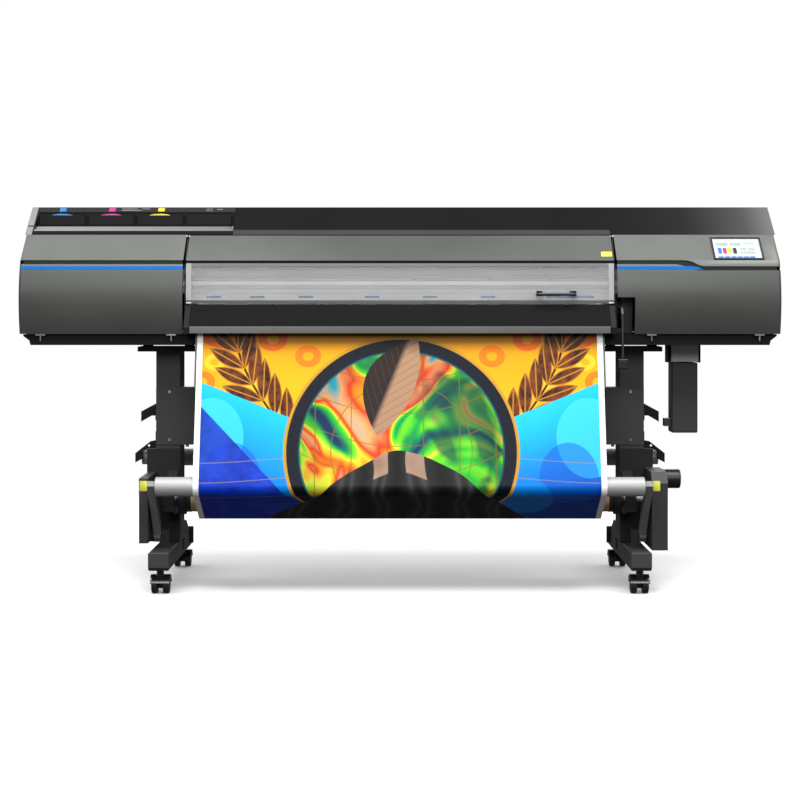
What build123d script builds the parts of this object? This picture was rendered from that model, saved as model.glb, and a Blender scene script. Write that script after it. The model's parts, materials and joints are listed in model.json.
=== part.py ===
"""Large-format roll-fed printer and contour cutter on a wheeled stand.

Frame: +X to the operator's right, +Y to the rear, +Z up, millimetres.
Origin on the floor, under the centre of the machine's bounding box.
"""
from build123d import *
import math
import os

os.makedirs("parts", exist_ok=True)

# ---------------------------------------------------------------- driving sizes
HALF_W = 1294.0        # half width over the side covers
TOP_Z = 1314.0         # overall height
FRONT_Y = -374.0       # frontmost plane (dancer arms)
REAR_Y = 374.0         # rearmost plane (foot ends)
UNIT_IN = 738.0        # inner face of each side cover
MID_HALF = 727.0       # half width of the front cover
FRAME_X = 731.0        # side frame inner plane
WALL = 3.0             # moulded cover wall
SEAM_Y, SEAM_Z = -100.0, 1212.0   # edge where front covers meet the rear cover
SKIRT_Z = 871.0        # lower edge of the covers
PAN_Z = 833.0          # underside of the chassis pan
PLATEN_Z = 972.0       # platen top
WEB_T = 0.8            # media thickness as modelled
WEB_HALF = 685.5       # half of the 1371 mm media width
WEB_Z = 973.0          # media mid plane over the platen
ARC_R = 120.0          # media bend radius over the front and rear guides
FRONT_C = (-110.0, 853.0)
REAR_C = (200.0, 853.0)
TAKE_Y, TAKE_Z = -160.0, 307.0            # take-up axis
TAKE_ROLL_R = 68.0
CORE_R, CORE_IN = 45.0, 38.1
SUP_Y, SUP_Z, SUP_ROLL_R = 266.0, 411.0, 75.0   # supply axis
DANCER_Y, DANCER_Z, DANCER_R = -340.0, 366.0, 32.0
WRAP_R = DANCER_R + 1.2                   # media bend radius round the dancer
PIVOT_Y, PIVOT_Z = -180.0, 183.0
POST_X0, POST_X1 = 765.0, 849.0           # stand post, inner and outer faces
POST_Y = 60.0
FOOT_X0, FOOT_X1 = 771.0, 839.0
FOOT_Z0, FOOT_Z1 = 83.0, 144.0
CASTER_X = 805.0
CASTER_YF, CASTER_YR = -262.0, 338.0   # wheel centres
TRAIL = 14.0                              # swivel axis stands this far ahead of the wheels
WHEEL_R, WHEEL_W = 30.0, 22.0
GRIT_Y, GRIT_Z, GRIT_R = -60.0, 958.6, 13.0
PINCH_X = [-643.0, -492.0, -325.0, -96.0, 104.0, 303.0, 585.0]
PINCH_R = 8.0
PINCH_SY, PINCH_SZ = 20.0, 996.0
LEVER_Y, LEVER_Z, LEVER_X = -120.0, 960.0, 753.5
HINGE_Y, HINGE_Z = -101.0, 1206.5
GEAR_M, GEAR_BIG, GEAR_SMALL = 1.5, 68, 27
GEAR_CD = GEAR_M * (GEAR_BIG + GEAR_SMALL) / 2 + 0.25


# ---------------------------------------------------------------- helpers
def box(x0, x1, y0, y1, z0, z1):
    return Pos((x0 + x1) / 2, (y0 + y1) / 2, (z0 + z1) / 2) * Box(abs(x1 - x0), abs(y1 - y0), abs(z1 - z0))


def rbox(x0, x1, y0, y1, z0, z1, r, axis=Axis.Z):
    b = box(x0, x1, y0, y1, z0, z1)
    return fillet(b.edges().filter_by(axis), r)


def cyl(axis, a, b, r, lo, hi):
    """Cylinder along axis ('x','y','z') at the other two coordinates a, b."""
    c = Cylinder(r, hi - lo)
    m = (lo + hi) / 2
    if axis == "x":
        return Pos(m, a, b) * Rot(0, 90, 0) * c
    if axis == "y":
        return Pos(a, m, b) * Rot(90, 0, 0) * c
    return Pos(a, b, m) * c


def tube(axis, a, b, ro, ri, lo, hi):
    return cyl(axis, a, b, ro, lo, hi) - cyl(axis, a, b, ri, lo - 1, hi + 1)


def face_yz(wire_or_pts):
    if isinstance(wire_or_pts, list):
        w = Polyline(*[(0, y, z) for y, z in wire_or_pts], close=True)
        return make_face(w)
    return make_face(wire_or_pts)


def prism_x(pts, x0, x1):
    f = face_yz(pts)
    return Pos(x0, 0, 0) * extrude(f, amount=x1 - x0, dir=(1, 0, 0))


def prism_y(pts, y0, y1):
    f = make_face(Polyline(*[(x, 0, z) for x, z in pts], close=True))
    return Pos(0, y0, 0) * extrude(f, amount=y1 - y0, dir=(0, 1, 0))


def prism_z(pts, z0, z1):
    f = make_face(Polyline(*[(x, y, 0) for x, y in pts], close=True))
    return Pos(0, 0, z0) * extrude(f, amount=z1 - z0, dir=(0, 0, 1))


def arc_strip(c, r_mid, t, a0, a1, x0, x1):
    """Curved strip in the YZ plane. Angle 0 points up, positive towards the front (-Y)."""
    ri, ro = r_mid - t / 2, r_mid + t / 2

    def p(r, a):
        return (0, c[0] - r * math.sin(a), c[1] + r * math.cos(a))

    m = (a0 + a1) / 2
    e = [ThreePointArc(p(ro, a0), p(ro, m), p(ro, a1)), Line(p(ro, a1), p(ri, a1)),
         ThreePointArc(p(ri, a1), p(ri, m), p(ri, a0)), Line(p(ri, a0), p(ro, a0))]
    return Pos(x0, 0, 0) * extrude(make_face(Wire(e)), amount=x1 - x0, dir=(1, 0, 0))


def strip(p0, p1, t, x0, x1):
    """Flat strip between two YZ points, of thickness t about its mid line."""
    (ya, za), (yb, zb) = p0, p1
    L = math.hypot(yb - ya, zb - za)
    ny, nz = -(zb - za) / L * t / 2, (yb - ya) / L * t / 2
    return prism_x([(ya + ny, za + nz), (yb + ny, zb + nz), (yb - ny, zb - nz), (ya - ny, za - nz)], x0, x1)


def gear_x(teeth, y, z, x0, x1, bore, phase=0.0, hub=0.0):
    """Spur gear with slim straight-sided teeth, axis along X."""
    rp = GEAR_M * teeth / 2
    ro, rr = rp + 0.95 * GEAR_M, rp - 1.2 * GEAR_M
    step = 2 * math.pi / teeth
    pts = []
    for i in range(teeth):
        a = i * step + phase
        for da, r in ((-0.27, rr), (-0.105, ro), (0.105, ro), (0.27, rr)):
            pts.append((y + r * math.cos(a + da * step), z + r * math.sin(a + da * step)))
    g = prism_x(pts, x0, x1)
    if hub:
        g = g + cyl("x", y, z, hub, x0 - 6, x0)
    return g - cyl("x", y, z, bore, x0 - 10, x1 + 10)


def flatten(s):
    if isinstance(s, (list, tuple)):
        return [q for t in s for q in flatten(t)]
    return list(s.solids())


def group(*shapes):
    """One node made of several separate solids."""
    return Compound(children=flatten(list(shapes)))


def both(fn):
    """Left and right copies made by a function of the side, -1 or 1."""
    return [fn(-1), fn(1)]


def sx(side, a, b):
    return (a, b) if side > 0 else (-b, -a)


P = {}      # node name -> shape

# ---------------------------------------------------------------- side covers
GROOVE_Z0, GROOVE_Z1 = 1108.0, 1122.0


def cover_wire(d=0.0):
    """Side profile of the covers in YZ, moved inwards by d."""
    top = SEAM_Z - d
    slope = math.atan2(SEAM_Z - GROOVE_Z1, 100.0)
    # the sloped face moved in by d
    oy, oz = d * math.sin(slope), -d * math.cos(slope)
    k = (GROOVE_Z1 - SEAM_Z) / (-200.0 - SEAM_Y)
    y_top = SEAM_Y + oy + (top - (SEAM_Z + oz)) / k
    yb = -201.0 + d
    zb = SEAM_Z + oz + (yb - (SEAM_Y + oy)) * k
    lo = SKIRT_Z - (40 if d else 0)
    e = [
        Line((0, 240 - d, lo), (0, 240 - d, top)),
        Line((0, 240 - d, top), (0, y_top, top)),
        Line((0, y_top, top), (0, yb, zb)),
        Line((0, yb, zb), (0, -205 + d, GROOVE_Z0)),
        ThreePointArc((0, -205 + d, GROOVE_Z0), (0, -226 + d, 1004), (0, -209 + d, SKIRT_Z)),
    ]
    if d:
        e.append(Line((0, -209 + d, SKIRT_Z), (0, -209 + d, lo)))
    e.append(Line((0, -209 + d, lo), (0, 240 - d, lo)))
    return Wire(e)


def cover_body(x0, x1, d=0.0):
    return Pos(x0, 0, 0) * extrude(make_face(cover_wire(d)), amount=x1 - x0, dir=(1, 0, 0))


def side_cover(side):
    a, b = sx(side, UNIT_IN, HALF_W)
    outer = cover_body(a, b)
    end = HALF_W * side
    try:
        edges = [e for e in outer.edges() if abs(e.center().X - end) < 1 and e.center().Y < -104 and e.center().Z > 880]
        outer = fillet(edges, 9)
    except Exception:
        pass
    if side < 0:
        inner = cover_body(a + WALL, b + 5, WALL)
    else:
        inner = cover_body(a - 5, b - WALL, WALL)
    return outer - inner


def groove_band(side, grow=0.0, y0=-235.0, y1=-196.0):
    """Dark parting band round the front, straight on the left and stepped on the right."""
    g = grow
    if side < 0:
        return box(-HALF_W - 5, -UNIT_IN + 5, y0, y1, GROOVE_Z0 - g, GROOVE_Z1 + g)
    up0, up1, dn0, dn1 = GROOVE_Z0 - g, GROOVE_Z1 + g, 1087 - g, 1101 + g
    xa, xb = 955.0, 1040.0
    e = [Line((UNIT_IN - 5, 0, up0), (xa - 25, 0, up0)),
         Spline((xa - 25, 0, up0), (xb - 40, 0, dn0 + 3), (xb - 5, 0, dn0), tangents=[(1, 0, 0), (1, 0, 0)]),
         Line((xb - 5, 0, dn0), (HALF_W + 5, 0, dn0)),
         Line((HALF_W + 5, 0, dn0), (HALF_W + 5, 0, dn1)),
         Line((HALF_W + 5, 0, dn1), (xb, 0, dn1)),
         Spline((xb, 0, dn1), (xa + 35, 0, up1 - 4), (xa, 0, up1), tangents=[(-1, 0, 0), (-1, 0, 0)]),
         Line((xa, 0, up1), (UNIT_IN - 5, 0, up1)),
         Line((UNIT_IN - 5, 0, up1), (UNIT_IN - 5, 0, up0))]
    f = make_face(Wire(e))
    return Pos(0, y0, 0) * extrude(f, amount=y1 - y0, dir=(0, 1, 0))


for side, name in ((-1, "left_cover"), (1, "right_cover")):
    shell = side_cover(side)
    a, b = sx(side, UNIT_IN, HALF_W)
    if side > 0:
        shell = shell - box(UNIT_IN - 1, 797, -260, -110, SKIRT_Z - 50, 996)
        # seat of the operating panel in the sloped face
    P[name] = shell

# operating panel pocket on the sloped face of the right cover: local frame on the slope
SL = math.atan2(SEAM_Z - GROOVE_Z1, 100.0)          # slope angle above horizontal
SL_C = ((-100 - 201) / 2.0, (SEAM_Z + GROOVE_Z1) / 2.0)   # middle of the slope, YZ


def on_slope(x, u, v):
    """Frame on the sloped face at x, u mm up the slope and v mm out of it."""
    y = SL_C[0] + u * math.cos(SL) - v * math.sin(SL)
    z = SL_C[1] + u * math.sin(SL) + v * math.cos(SL)
    return Pos(x, y, z) * Rot(math.degrees(SL), 0, 0)


PANEL_X, PANEL_W, PANEL_H = 1155.0, 172.0, 116.0
PANEL_U = -7.0
pocket = on_slope(PANEL_X, PANEL_U, 0) * Box(PANEL_W + 0.8, PANEL_H + 0.8, 30)
P["right_cover"] = P["right_cover"] - pocket
bez = fillet((Box(PANEL_W, PANEL_H, 14)).edges().filter_by(Axis.Z), 5)
bez = bez - Pos(0, 0, 4) * Box(PANEL_W - 12, PANEL_H - 12, 10)
P["panel_bezel"] = on_slope(PANEL_X, PANEL_U, -3.5) * bez
P["touch_screen"] = on_slope(PANEL_X, PANEL_U, -3.5 + 1.4) * Box(PANEL_W - 13, PANEL_H - 13, 4.4)

# parting bands: cut the shells and lay a dark trim behind
trim = []
for side, name in ((-1, "left_cover"), (1, "right_cover")):
    P[name] = P[name] - groove_band(side)
    a, b = sx(side, UNIT_IN + 2, HALF_W - 12)
    back = cover_body(a, b, WALL + 0.2) - cover_body(a - 1, b + 1, WALL + 3.2)
    band = groove_band(side, grow=9.0, y0=-240.0, y1=-186.0)
    t = back & band
    trim += list(t.solids())
P["parting_trim"] = group(trim)


def stripe(side):
    a, b = (UNIT_IN + 0.5, 1030.0) if side > 0 else (-HALF_W + 10.0, -UNIT_IN - 0.5)
    skin = Pos(0, -0.7, 0) * cover_body(a, b) - cover_body(a - 1, b + 1)
    if side > 0:
        cut = prism_y([(a, 1090), (a, 1101.5), (985, 1101.5), (1010, 1099), (1030, 1091), (1030, 1090)], -260, -150)
    else:
        cut = box(a, b, -260, -150, 1090, 1101.5)
    return max((skin & cut).solids(), key=lambda s: s.volume)


P["accent_stripes"] = group(stripe(-1), stripe(1))

# thumb screws under the covers' front edges
SCREW_X = (-1223.0, -778.0, 856.0, 1223.0)
P["cover_thumbscrews"] = group([fillet(box(x - 18, x + 18, -209, -196.3, 865.6, 870.6).edges().filter_by(Axis.Z), 5)
                                + cyl("z", x, -202.8, 3.2, 847, 866) + cyl("z", x, -202.8, 2.5, 870, 882) for x in SCREW_X])
for x in SCREW_X:
    nm = "left_cover" if x < 0 else "right_cover"
    P[nm] = P[nm] + (box(x - 12, x + 12, -207, -196, SKIRT_Z, SKIRT_Z + 3) - cyl("z", x, -202.8, 2.55, 860, 880))

# ---------------------------------------------------------------- chassis
pan = box(-1258, 1258, -100, 230, PAN_Z, 870.5)
pan = pan - box(-1255, 1255, -97, 227, PAN_Z + 3, 880)
# front ledge that takes the cover screws
P["chassis_pan"] = pan
def beam_outline(d):
    h = [(1283 - d, 869.5 - d), (1283 - d, 864), (1263 - d, 849), (1258 - d, PAN_Z + d)]
    return h + [(-x, z) for x, z in reversed(h)]


beam = prism_y(beam_outline(0), -196, -100.1) - prism_y(beam_outline(3), -193, -103)
beam = beam - box(-1250, 1250, -170, -120, 860, 880)
P["front_beam"] = beam


def side_frame(side):
    a, b = sx(side, FRAME_X, FRAME_X + 3)
    f = prism_x([(-194, 874), (-194, 1100), (-108, 1192), (-108, 1211.5), (-92, 1211.5), (-80, 1190), (220, 1190),
                 (220, 990), (150, 940), (150, 836.2), (-90, 836.2), (-90, 874)], a, b)
    f = f - box(a - 1, b + 1, -189, -100, 974, 1122)          # carriage window
    f = f - box(a - 1, b + 1, -108, -59.9, 1009.9, 1122)      # rail and belt
    f = f - cyl("x", GRIT_Y, GRIT_Z, 11, a - 1, b + 1)
    f = f - cyl("x", PINCH_SY, PINCH_SZ, 6.06, a - 1, b + 1)
    return f - cyl("x", HINGE_Y, HINGE_Z, 2.02, a - 1, b + 1)


P["side_frames"] = group(both(side_frame))

# ---------------------------------------------------------------- rail, platen, media guides
rail_pts = [(-104, 1010), (-104, 1024), (-99, 1028), (-99, 1034), (-104, 1038), (-104, 1052), (-97, 1056), (-97, 1064),
            (-104, 1068), (-104, 1090), (-98, 1095), (-62, 1095), (-60, 1090), (-60, 1012), (-62, 1010)]
rail = prism_x(rail_pts, -1275, 1275) - box(-1300, 1300, -90, -70, 1030, 1080)
P["guide_rail"] = rail - box(768, 786, -120, -40, 1000, 1013)

platen = box(-MID_HALF, MID_HALF, -112, 200, 950, PLATEN_Z) - box(-MID_HALF + 6, MID_HALF - 6, -104, 192, 940, 966)
for x in PINCH_X:
    platen = platen - box(x - 31, x + 31, GRIT_Y - 16, GRIT_Y + 16, 940, 980)
platen = platen - box(-800, 800, GRIT_Y - 11, GRIT_Y + 11, 940, 968.4)
platen = platen - box(-680, 680, -96, -90, 969.5, 980)        # cutting groove
P["platen"] = platen
P["cutting_strip"] = box(-679.5, 679.5, -95.5, -90.5, 969.6, 971.9)
P["platen_brackets"] = group([box(x - 20, x + 20, -30, 190, 836.1, 949.9) - box(x - 17, x + 17, -32, 192, 839.1, 946.9)
                              for x in (-600, -200, 200, 600)])

A0, A1 = math.radians(3), math.radians(72.15)


DANCER_C = (DANCER_Y, DANCER_Z)
TAKE_C = (TAKE_Y, TAKE_Z)
TAKE_WRAP = TAKE_ROLL_R + 1.0


def front_tangent(c1, r1, c2, r2):
    dy, dz = c2[0] - c1[0], c2[1] - c1[1]
    d = math.hypot(dy, dz)
    lean = math.atan2(-dy, -dz) + math.asin((r2 - r1) / d)
    n = (-math.cos(lean), math.sin(lean))
    return lean, (c1[0] + r1 * n[0], c1[1] + r1 * n[1]), (c2[0] + r2 * n[0], c2[1] + r2 * n[1])


LEAN, T1, T2 = front_tangent(FRONT_C, ARC_R, DANCER_C, WRAP_R)
A_T = math.pi / 2 - LEAN
# lower run, from under the dancer to under the take-up roll
dd = math.hypot(TAKE_Y - DANCER_Y, TAKE_Z - DANCER_Z)
FALL = math.atan2(TAKE_Z - DANCER_Z, TAKE_Y - DANCER_Y) - math.asin((TAKE_WRAP - WRAP_R) / dd)
NB = (math.sin(FALL), -math.cos(FALL))
T3 = (DANCER_Y + WRAP_R * NB[0], DANCER_Z + WRAP_R * NB[1])
T4 = (TAKE_Y + TAKE_WRAP * NB[0], TAKE_Z + TAKE_WRAP * NB[1])
A_B = math.pi + FALL
print("web", LEAN, T1, T2, T3, T4)

# curved apron behind the media, with its straight drop
ap_r, ap_t = 117.0, 2.0
ap = arc_strip(FRONT_C, ap_r, ap_t, A0, A_T, -692, 692)
s0 = (FRONT_C[0] - ap_r * math.sin(A_T), FRONT_C[1] + ap_r * math.cos(A_T))
drop = (s0[1] - 692) / math.cos(LEAN)
s1 = (s0[0] - drop * math.sin(LEAN), s0[1] - drop * math.cos(LEAN))
ap = ap + strip(s0, s1, ap_t, -692, 692)
ap = ap + strip(s1, (s1[0] + 24, s1[1] - 4), ap_t, -692, 692)
P["heater_apron"] = ap
rg = arc_strip(REAR_C, ap_r, ap_t, -math.pi / 2, -A0, -705, 705) + box(-705, 705, 316, 318, 790, 853)
P["rear_feed_guide"] = rg
P["guide_brackets"] = group([
    [prism_x([(-118, 874), (-98, 874), (-98, 949.9), (-118, 949.9)], x - 1.5, x + 1.5)
     + prism_x([(s0[0] + 8, 874), (-100, 874), (-100, 880), (s0[0] + 8, 880)], x - 1.5, x + 1.5)
     for x in (-660.0, 660.0)],
    [prism_x([(228, 874), (312, 840), (312, 852), (228, 949.9)], x - 1.5, x + 1.5) for x in (-660.0, 660.0)]])

# ---------------------------------------------------------------- media
segs = []
rear_t = (REAR_C[0] + ARC_R, REAR_C[1])
sup_t = (SUP_Y + SUP_ROLL_R + 0.8, SUP_Z + 10)
# rear run leans in slightly from the supply roll
rear_ang = math.atan2(sup_t[0] - rear_t[0], rear_t[1] - sup_t[1])
ra = rear_ang
ra_pt = (REAR_C[0] + ARC_R * math.cos(ra), REAR_C[1] + ARC_R * math.sin(ra))
L_r = (ra_pt[1] - SUP_Z - 10) / math.cos(ra)
sup_end = (ra_pt[0] + L_r * math.sin(ra), ra_pt[1] - L_r * math.cos(ra))
segs.append(strip(sup_end, ra_pt, WEB_T, -WEB_HALF, WEB_HALF))
n = 3
arc_lo, arc_hi = -(math.pi / 2 - ra), 0.0
for i in range(n):
    segs.append(arc_strip(REAR_C, ARC_R, WEB_T, arc_lo + (arc_hi - arc_lo) * i / n, arc_lo + (arc_hi - arc_lo) * (i + 1) / n,
                          -WEB_HALF, WEB_HALF))
segs.append(strip((REAR_C[0], WEB_Z), (FRONT_C[0], WEB_Z), WEB_T, -WEB_HALF, WEB_HALF))
for i in range(n):
    segs.append(arc_strip(FRONT_C, ARC_R, WEB_T, A_T * i / n, A_T * (i + 1) / n, -WEB_HALF, WEB_HALF))
segs.append(strip(T1, T2, WEB_T, -WEB_HALF, WEB_HALF))
n = 2
for i in range(n):
    segs.append(arc_strip(DANCER_C, WRAP_R, WEB_T, A_T + (A_B - A_T) * i / n, A_T + (A_B - A_T) * (i + 1) / n,
                          -WEB_HALF, WEB_HALF))
segs.append(strip(T3, T4, WEB_T, -WEB_HALF, WEB_HALF))
P["media_web"] = group(segs)

P["takeup_roll"] = tube("x", TAKE_Y, TAKE_Z, TAKE_ROLL_R, CORE_R, -WEB_HALF, WEB_HALF)
P["takeup_core"] = tube("x", TAKE_Y, TAKE_Z, CORE_R, CORE_IN, -712, 712)
P["supply_roll"] = tube("x", SUP_Y, SUP_Z, SUP_ROLL_R, CORE_R, -WEB_HALF, WEB_HALF)
P["supply_core"] = tube("x", SUP_Y, SUP_Z, CORE_R, CORE_IN, -700, 700)

# ---------------------------------------------------------------- take-up flanges, shafts and drive
def takeup_flange(side):
    lo, hi = sx(side, 690, 740)
    s = cyl("x", TAKE_Y, TAKE_Z, CORE_IN - 0.4, *sx(side, 690, 716))
    s = s + cyl("x", TAKE_Y, TAKE_Z, 46, *sx(side, 712.5, 731)) + cyl("x", TAKE_Y, TAKE_Z, 54, *sx(side, 731, 752))
    s = s + cyl("x", TAKE_Y, TAKE_Z, 24, *sx(side, 752, 764))
    return s - cyl("x", TAKE_Y, TAKE_Z, 12, *sx(side, 689, 765))


P["takeup_flanges"] = group(both(takeup_flange))
P["takeup_shafts"] = group(cyl("x", TAKE_Y, TAKE_Z, 12, -806, -700), cyl("x", TAKE_Y, TAKE_Z, 12, 700, 884))
P["takeup_gear"] = gear_x(GEAR_BIG, TAKE_Y, TAKE_Z, 862, 874, 12.0)
ANG = math.atan2(65.0, 30.0)
MOT_Y, MOT_Z = TAKE_Y + GEAR_CD * math.cos(ANG), TAKE_Z + GEAR_CD * math.sin(ANG)


def mesh_phase(ang, n1, n2):
    """Phase of gear 2 so that a gap faces gear 1's tooth along the line of centres."""
    s1, s2 = 2 * math.pi / n1, 2 * math.pi / n2
    f = (ang / s1) % 1.0                       # where gear 1's pattern stands on the line
    return (ang + math.pi) + s2 * (0.5 + f)


P["takeup_pinion"] = gear_x(GEAR_SMALL, MOT_Y, MOT_Z, 861, 875, 5.0, phase=mesh_phase(ANG, GEAR_BIG, GEAR_SMALL)) \
    + cyl("x", MOT_Y, MOT_Z, 5, 858, 896)
case_pts = [(-290, 147), (-290, 372), (-262, 408), (-96, 408), (-66, 384), (-66, 147)]
in_pts = [(-287, 150), (-287, 371), (-261, 405), (-97, 405), (-69, 382.5), (-69, 150)]
case = prism_x(case_pts, 845, 898) - prism_x(in_pts, 848, 895)
case = case - cyl("x", TAKE_Y, TAKE_Z, 12.6, 840, 850) - cyl("x", MOT_Y, MOT_Z, 5.6, 890, 900)
P["takeup_drive_case"] = case
mot = cyl("x", MOT_Y, MOT_Z, 33, 898, 963)
mot = fillet(mot.edges().filter_by(lambda e: abs(e.center().X - 963) < 0.1), 6)
P["takeup_motor"] = mot
lc = prism_x([(-290, 170), (-290, 389), (-66, 389), (-66, 170)], -875, -845)
P["takeup_end_case"] = fillet(lc.edges().filter_by(Axis.X), 4)


def takeup_support(side):
    a, b = sx(side, 770, 806)
    s = prism_x([(-66.1, 250), (-66.1, 400), (-120, 360), (-190, 340), (-190, 262), (-140, 250)], a, b)
    s = fillet(s.edges().filter_by(Axis.X), 6)
    # swept pocket keeps it a casting, not a block
    s = s - prism_x([(-80, 270), (-80, 365), (-118, 345), (-128, 335), (-118, 270)], a - 1 if side > 0 else a + 6, b - 6 if side > 0 else b + 1)
    return s - cyl("x", TAKE_Y, TAKE_Z, 12.06, a - 1, b + 1)


P["takeup_supports"] = group(both(takeup_support))
P["takeup_mount_plates"] = group([box(*sx(s, POST_X0, 880), -66, -60.2, 146, 470) if s > 0 else box(-880, -POST_X0, -66, -60.2, 146, 470)
                                  for s in (-1, 1)])
# ---------------------------------------------------------------- dancer
P["dancer_tube"] = tube("x", DANCER_Y, DANCER_Z, DANCER_R, DANCER_R - 2.5, -811, 811) \
    + tube("x", DANCER_Y, DANCER_Z, DANCER_R - 2.5, 8.1, -811, -799) + tube("x", DANCER_Y, DANCER_Z, DANCER_R - 2.5, 8.1, 799, 811)


def dancer_arm(side):
    a, b = sx(side, 816, 839)
    ay, az, by, bz = PIVOT_Y, PIVOT_Z, DANCER_Y, DANCER_Z
    L = math.hypot(by - ay, bz - az)
    uy, uz = (by - ay) / L, (bz - az) / L
    ny, nz = -uz, uy
    pts = []
    # bowed outline: wide at the middle, bending to the tube
    for t, w, off in ((-0.08, 12, 0), (0.25, 15, -9), (0.55, 15, -9), (0.85, 13, 0), (1.06, 12, 0)):
        pts.append((ay + uy * t * L + ny * (w + off), az + uz * t * L + nz * (w + off)))
    for t, w, off in ((1.06, -12, 0), (0.85, -13, 0), (0.55, -15, -9), (0.25, -15, -9), (-0.08, -12, 0)):
        pts.append((ay + uy * t * L + ny * (w + off), az + uz * t * L + nz * (w + off)))
    s = prism_x(pts, a, b)
    # channel section, open inwards
    inner = []
    for t, w, off in ((0.02, 9, 0), (0.25, 12, -9), (0.55, 12, -9), (0.80, 10, 0)):
        inner.append((ay + uy * t * L + ny * (w + off), az + uz * t * L + nz * (w + off)))
    for t, w, off in ((0.80, -10, 0), (0.55, -12, -9), (0.25, -12, -9), (0.02, -9, 0)):
        inner.append((ay + uy * t * L + ny * (w + off), az + uz * t * L + nz * (w + off)))
    ca, cb = (a - 1, b - 3) if side > 0 else (a + 3, b + 1)
    s = s - prism_x(inner, ca, cb)
    s = s + cyl("x", PIVOT_Y, PIVOT_Z, 14, a, b)
    return s - cyl("x", PIVOT_Y, PIVOT_Z, 7.06, a - 1, b + 1)


P["dancer_arm_left"] = dancer_arm(-1)
P["dancer_arm_right"] = dancer_arm(1)


def dancer_end(side):
    a, b = sx(side, 812, 815.9)
    s = cyl("x", DANCER_Y, DANCER_Z, 18, a, b) + cyl("x", DANCER_Y, DANCER_Z, 8.0, *sx(side, 797, 815.9))
    return s


P["dancer_end_pins"] = group(both(dancer_end))
P["dancer_pivots"] = group([
    (box(*sx(s, 790, 813), PIVOT_Y - 18, PIVOT_Y + 18, FOOT_Z1 + 0.2, 203)
     + cyl("x", PIVOT_Y, PIVOT_Z, 7.0, *sx(s, 800, 842)) + cyl("x", PIVOT_Y, PIVOT_Z, 10, *sx(s, 840, 844)))
    for s in (-1, 1)])

# ---------------------------------------------------------------- supply stand at the rear
SH_R = 31.0
P["supply_tube"] = tube("x", SUP_Y, SUP_Z, SH_R, SH_R - 3, -812, 812)
P["supply_shaft_ends"] = group([
    cyl("x", SUP_Y, SUP_Z, SH_R - 3, *sx(s, 780, 820)) + cyl("x", SUP_Y, SUP_Z, 14, *sx(s, 820, 912))
    + cyl("x", SUP_Y, SUP_Z, 27, *sx(s, 912, 944)) for s in (-1, 1)])


def supply_flange(side):
    s = cyl("x", SUP_Y, SUP_Z, CORE_IN - 0.4, *sx(side, 690, 701)) + cyl("x", SUP_Y, SUP_Z, 48, *sx(side, 700.5, 708)) \
        + cyl("x", SUP_Y, SUP_Z, 95, *sx(side, 708, 722)) + cyl("x", SUP_Y, SUP_Z, 36, *sx(side, 722, 740))
    s = s - cyl("x", SUP_Y, SUP_Z, SH_R, *sx(side, 680, 760))
    for k in range(6):
        a = k * math.pi / 3
        s = s - cyl("x", SUP_Y + 68 * math.cos(a), SUP_Z + 68 * math.sin(a), 13, *sx(side, 700, 760))
    return s


P["supply_flanges"] = group(both(supply_flange))


def supply_arm(side):
    plate = box(*sx(side, 800, 868), 60.2, 66, 350, 520)
    arm = prism_x([(66, 350), (66, 520), (130, 500), (300, 452), (304, 400), (290, 372), (120, 350)], *sx(side, 862, 868))
    arm = arm - cyl("x", SUP_Y, SUP_Z, 14.06, *sx(side, 850, 880))
    blk = box(*sx(side, 868, 905), SUP_Y - 34, SUP_Y + 34, SUP_Z - 30, SUP_Z + 30)
    blk = fillet(blk.edges().filter_by(Axis.X), 6) - cyl("x", SUP_Y, SUP_Z, 14.06, *sx(side, 850, 920))
    return [plate, arm, blk]


P["supply_arms"] = group(both(supply_arm))


def supply_gusset(side):
    k = side
    pts = [(k * 868.5, 480), (k * 906, 474), (k * 962, 430), (k * 962, 396), (k * 932, 412), (k * 932, 440), (k * 906, 446), (k * 869, 446)]
    g = prism_y(pts, 205, 209) + prism_y([(k * 869, 446), (k * 872, 446), (k * 872, 480), (k * 869, 480)], 195, 230)
    g = g - cyl("y", k * 912, 458, 4, 200, 215)
    u = [(k * 869, 617), (k * 872, 617), (k * 928, 587), (k * 928, 549), (k * 925, 552), (k * 890, 572), (k * 869, 572)]
    h = prism_y(u, 120, 124) + box(*sx(side, 862, 869), 62, 124, 560, 617)
    return [g, h]


gus = []
for s in (-1, 1):
    gus += supply_gusset(s)
P["rear_hooks"] = group(gus)

# ---------------------------------------------------------------- stand
P["stand_posts"] = group([box(*sx(s, POST_X0, POST_X1), -POST_Y, POST_Y, FOOT_Z1 + 0.1, 807)
                          - box(*sx(s, POST_X0 + 3, POST_X1 - 3), -POST_Y + 3, POST_Y - 3, FOOT_Z1 + 3, 804) for s in (-1, 1)])
P["stand_top_plates"] = group([
    (box(*sx(s, 712, 913), -66, 70, 807.1, 824) - box(*sx(s, 715, 910), -63, 67, 800, 821)) for s in (-1, 1)])
P["body_spacers"] = group([cyl("z", s * x, y, 12, 824.1, PAN_Z - 0.1) for s in (-1, 1) for x in (740, 885) for y in (-40, 45)])
cb = box(-849, 849, -64, -60.3, 483, 683)
cb = cb + box(-764, 764, -61, -8, 483, 486) + box(-764, 764, -61, -8, 680, 683)
cb = cb + box(-764, 764, -11, -8, 483, 507) + box(-764, 764, -11, -8, 659, 683)
P["cross_beam"] = cb
P["beam_bolts"] = group([cyl("y", s * 802, z, 5.5, -67.5, -64.1) for s in (-1, 1) for z in (500, 667)]
                        + [cyl("z", s * 742, -48, 6, 475, 482.8) for s in (-1, 1)])


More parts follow.
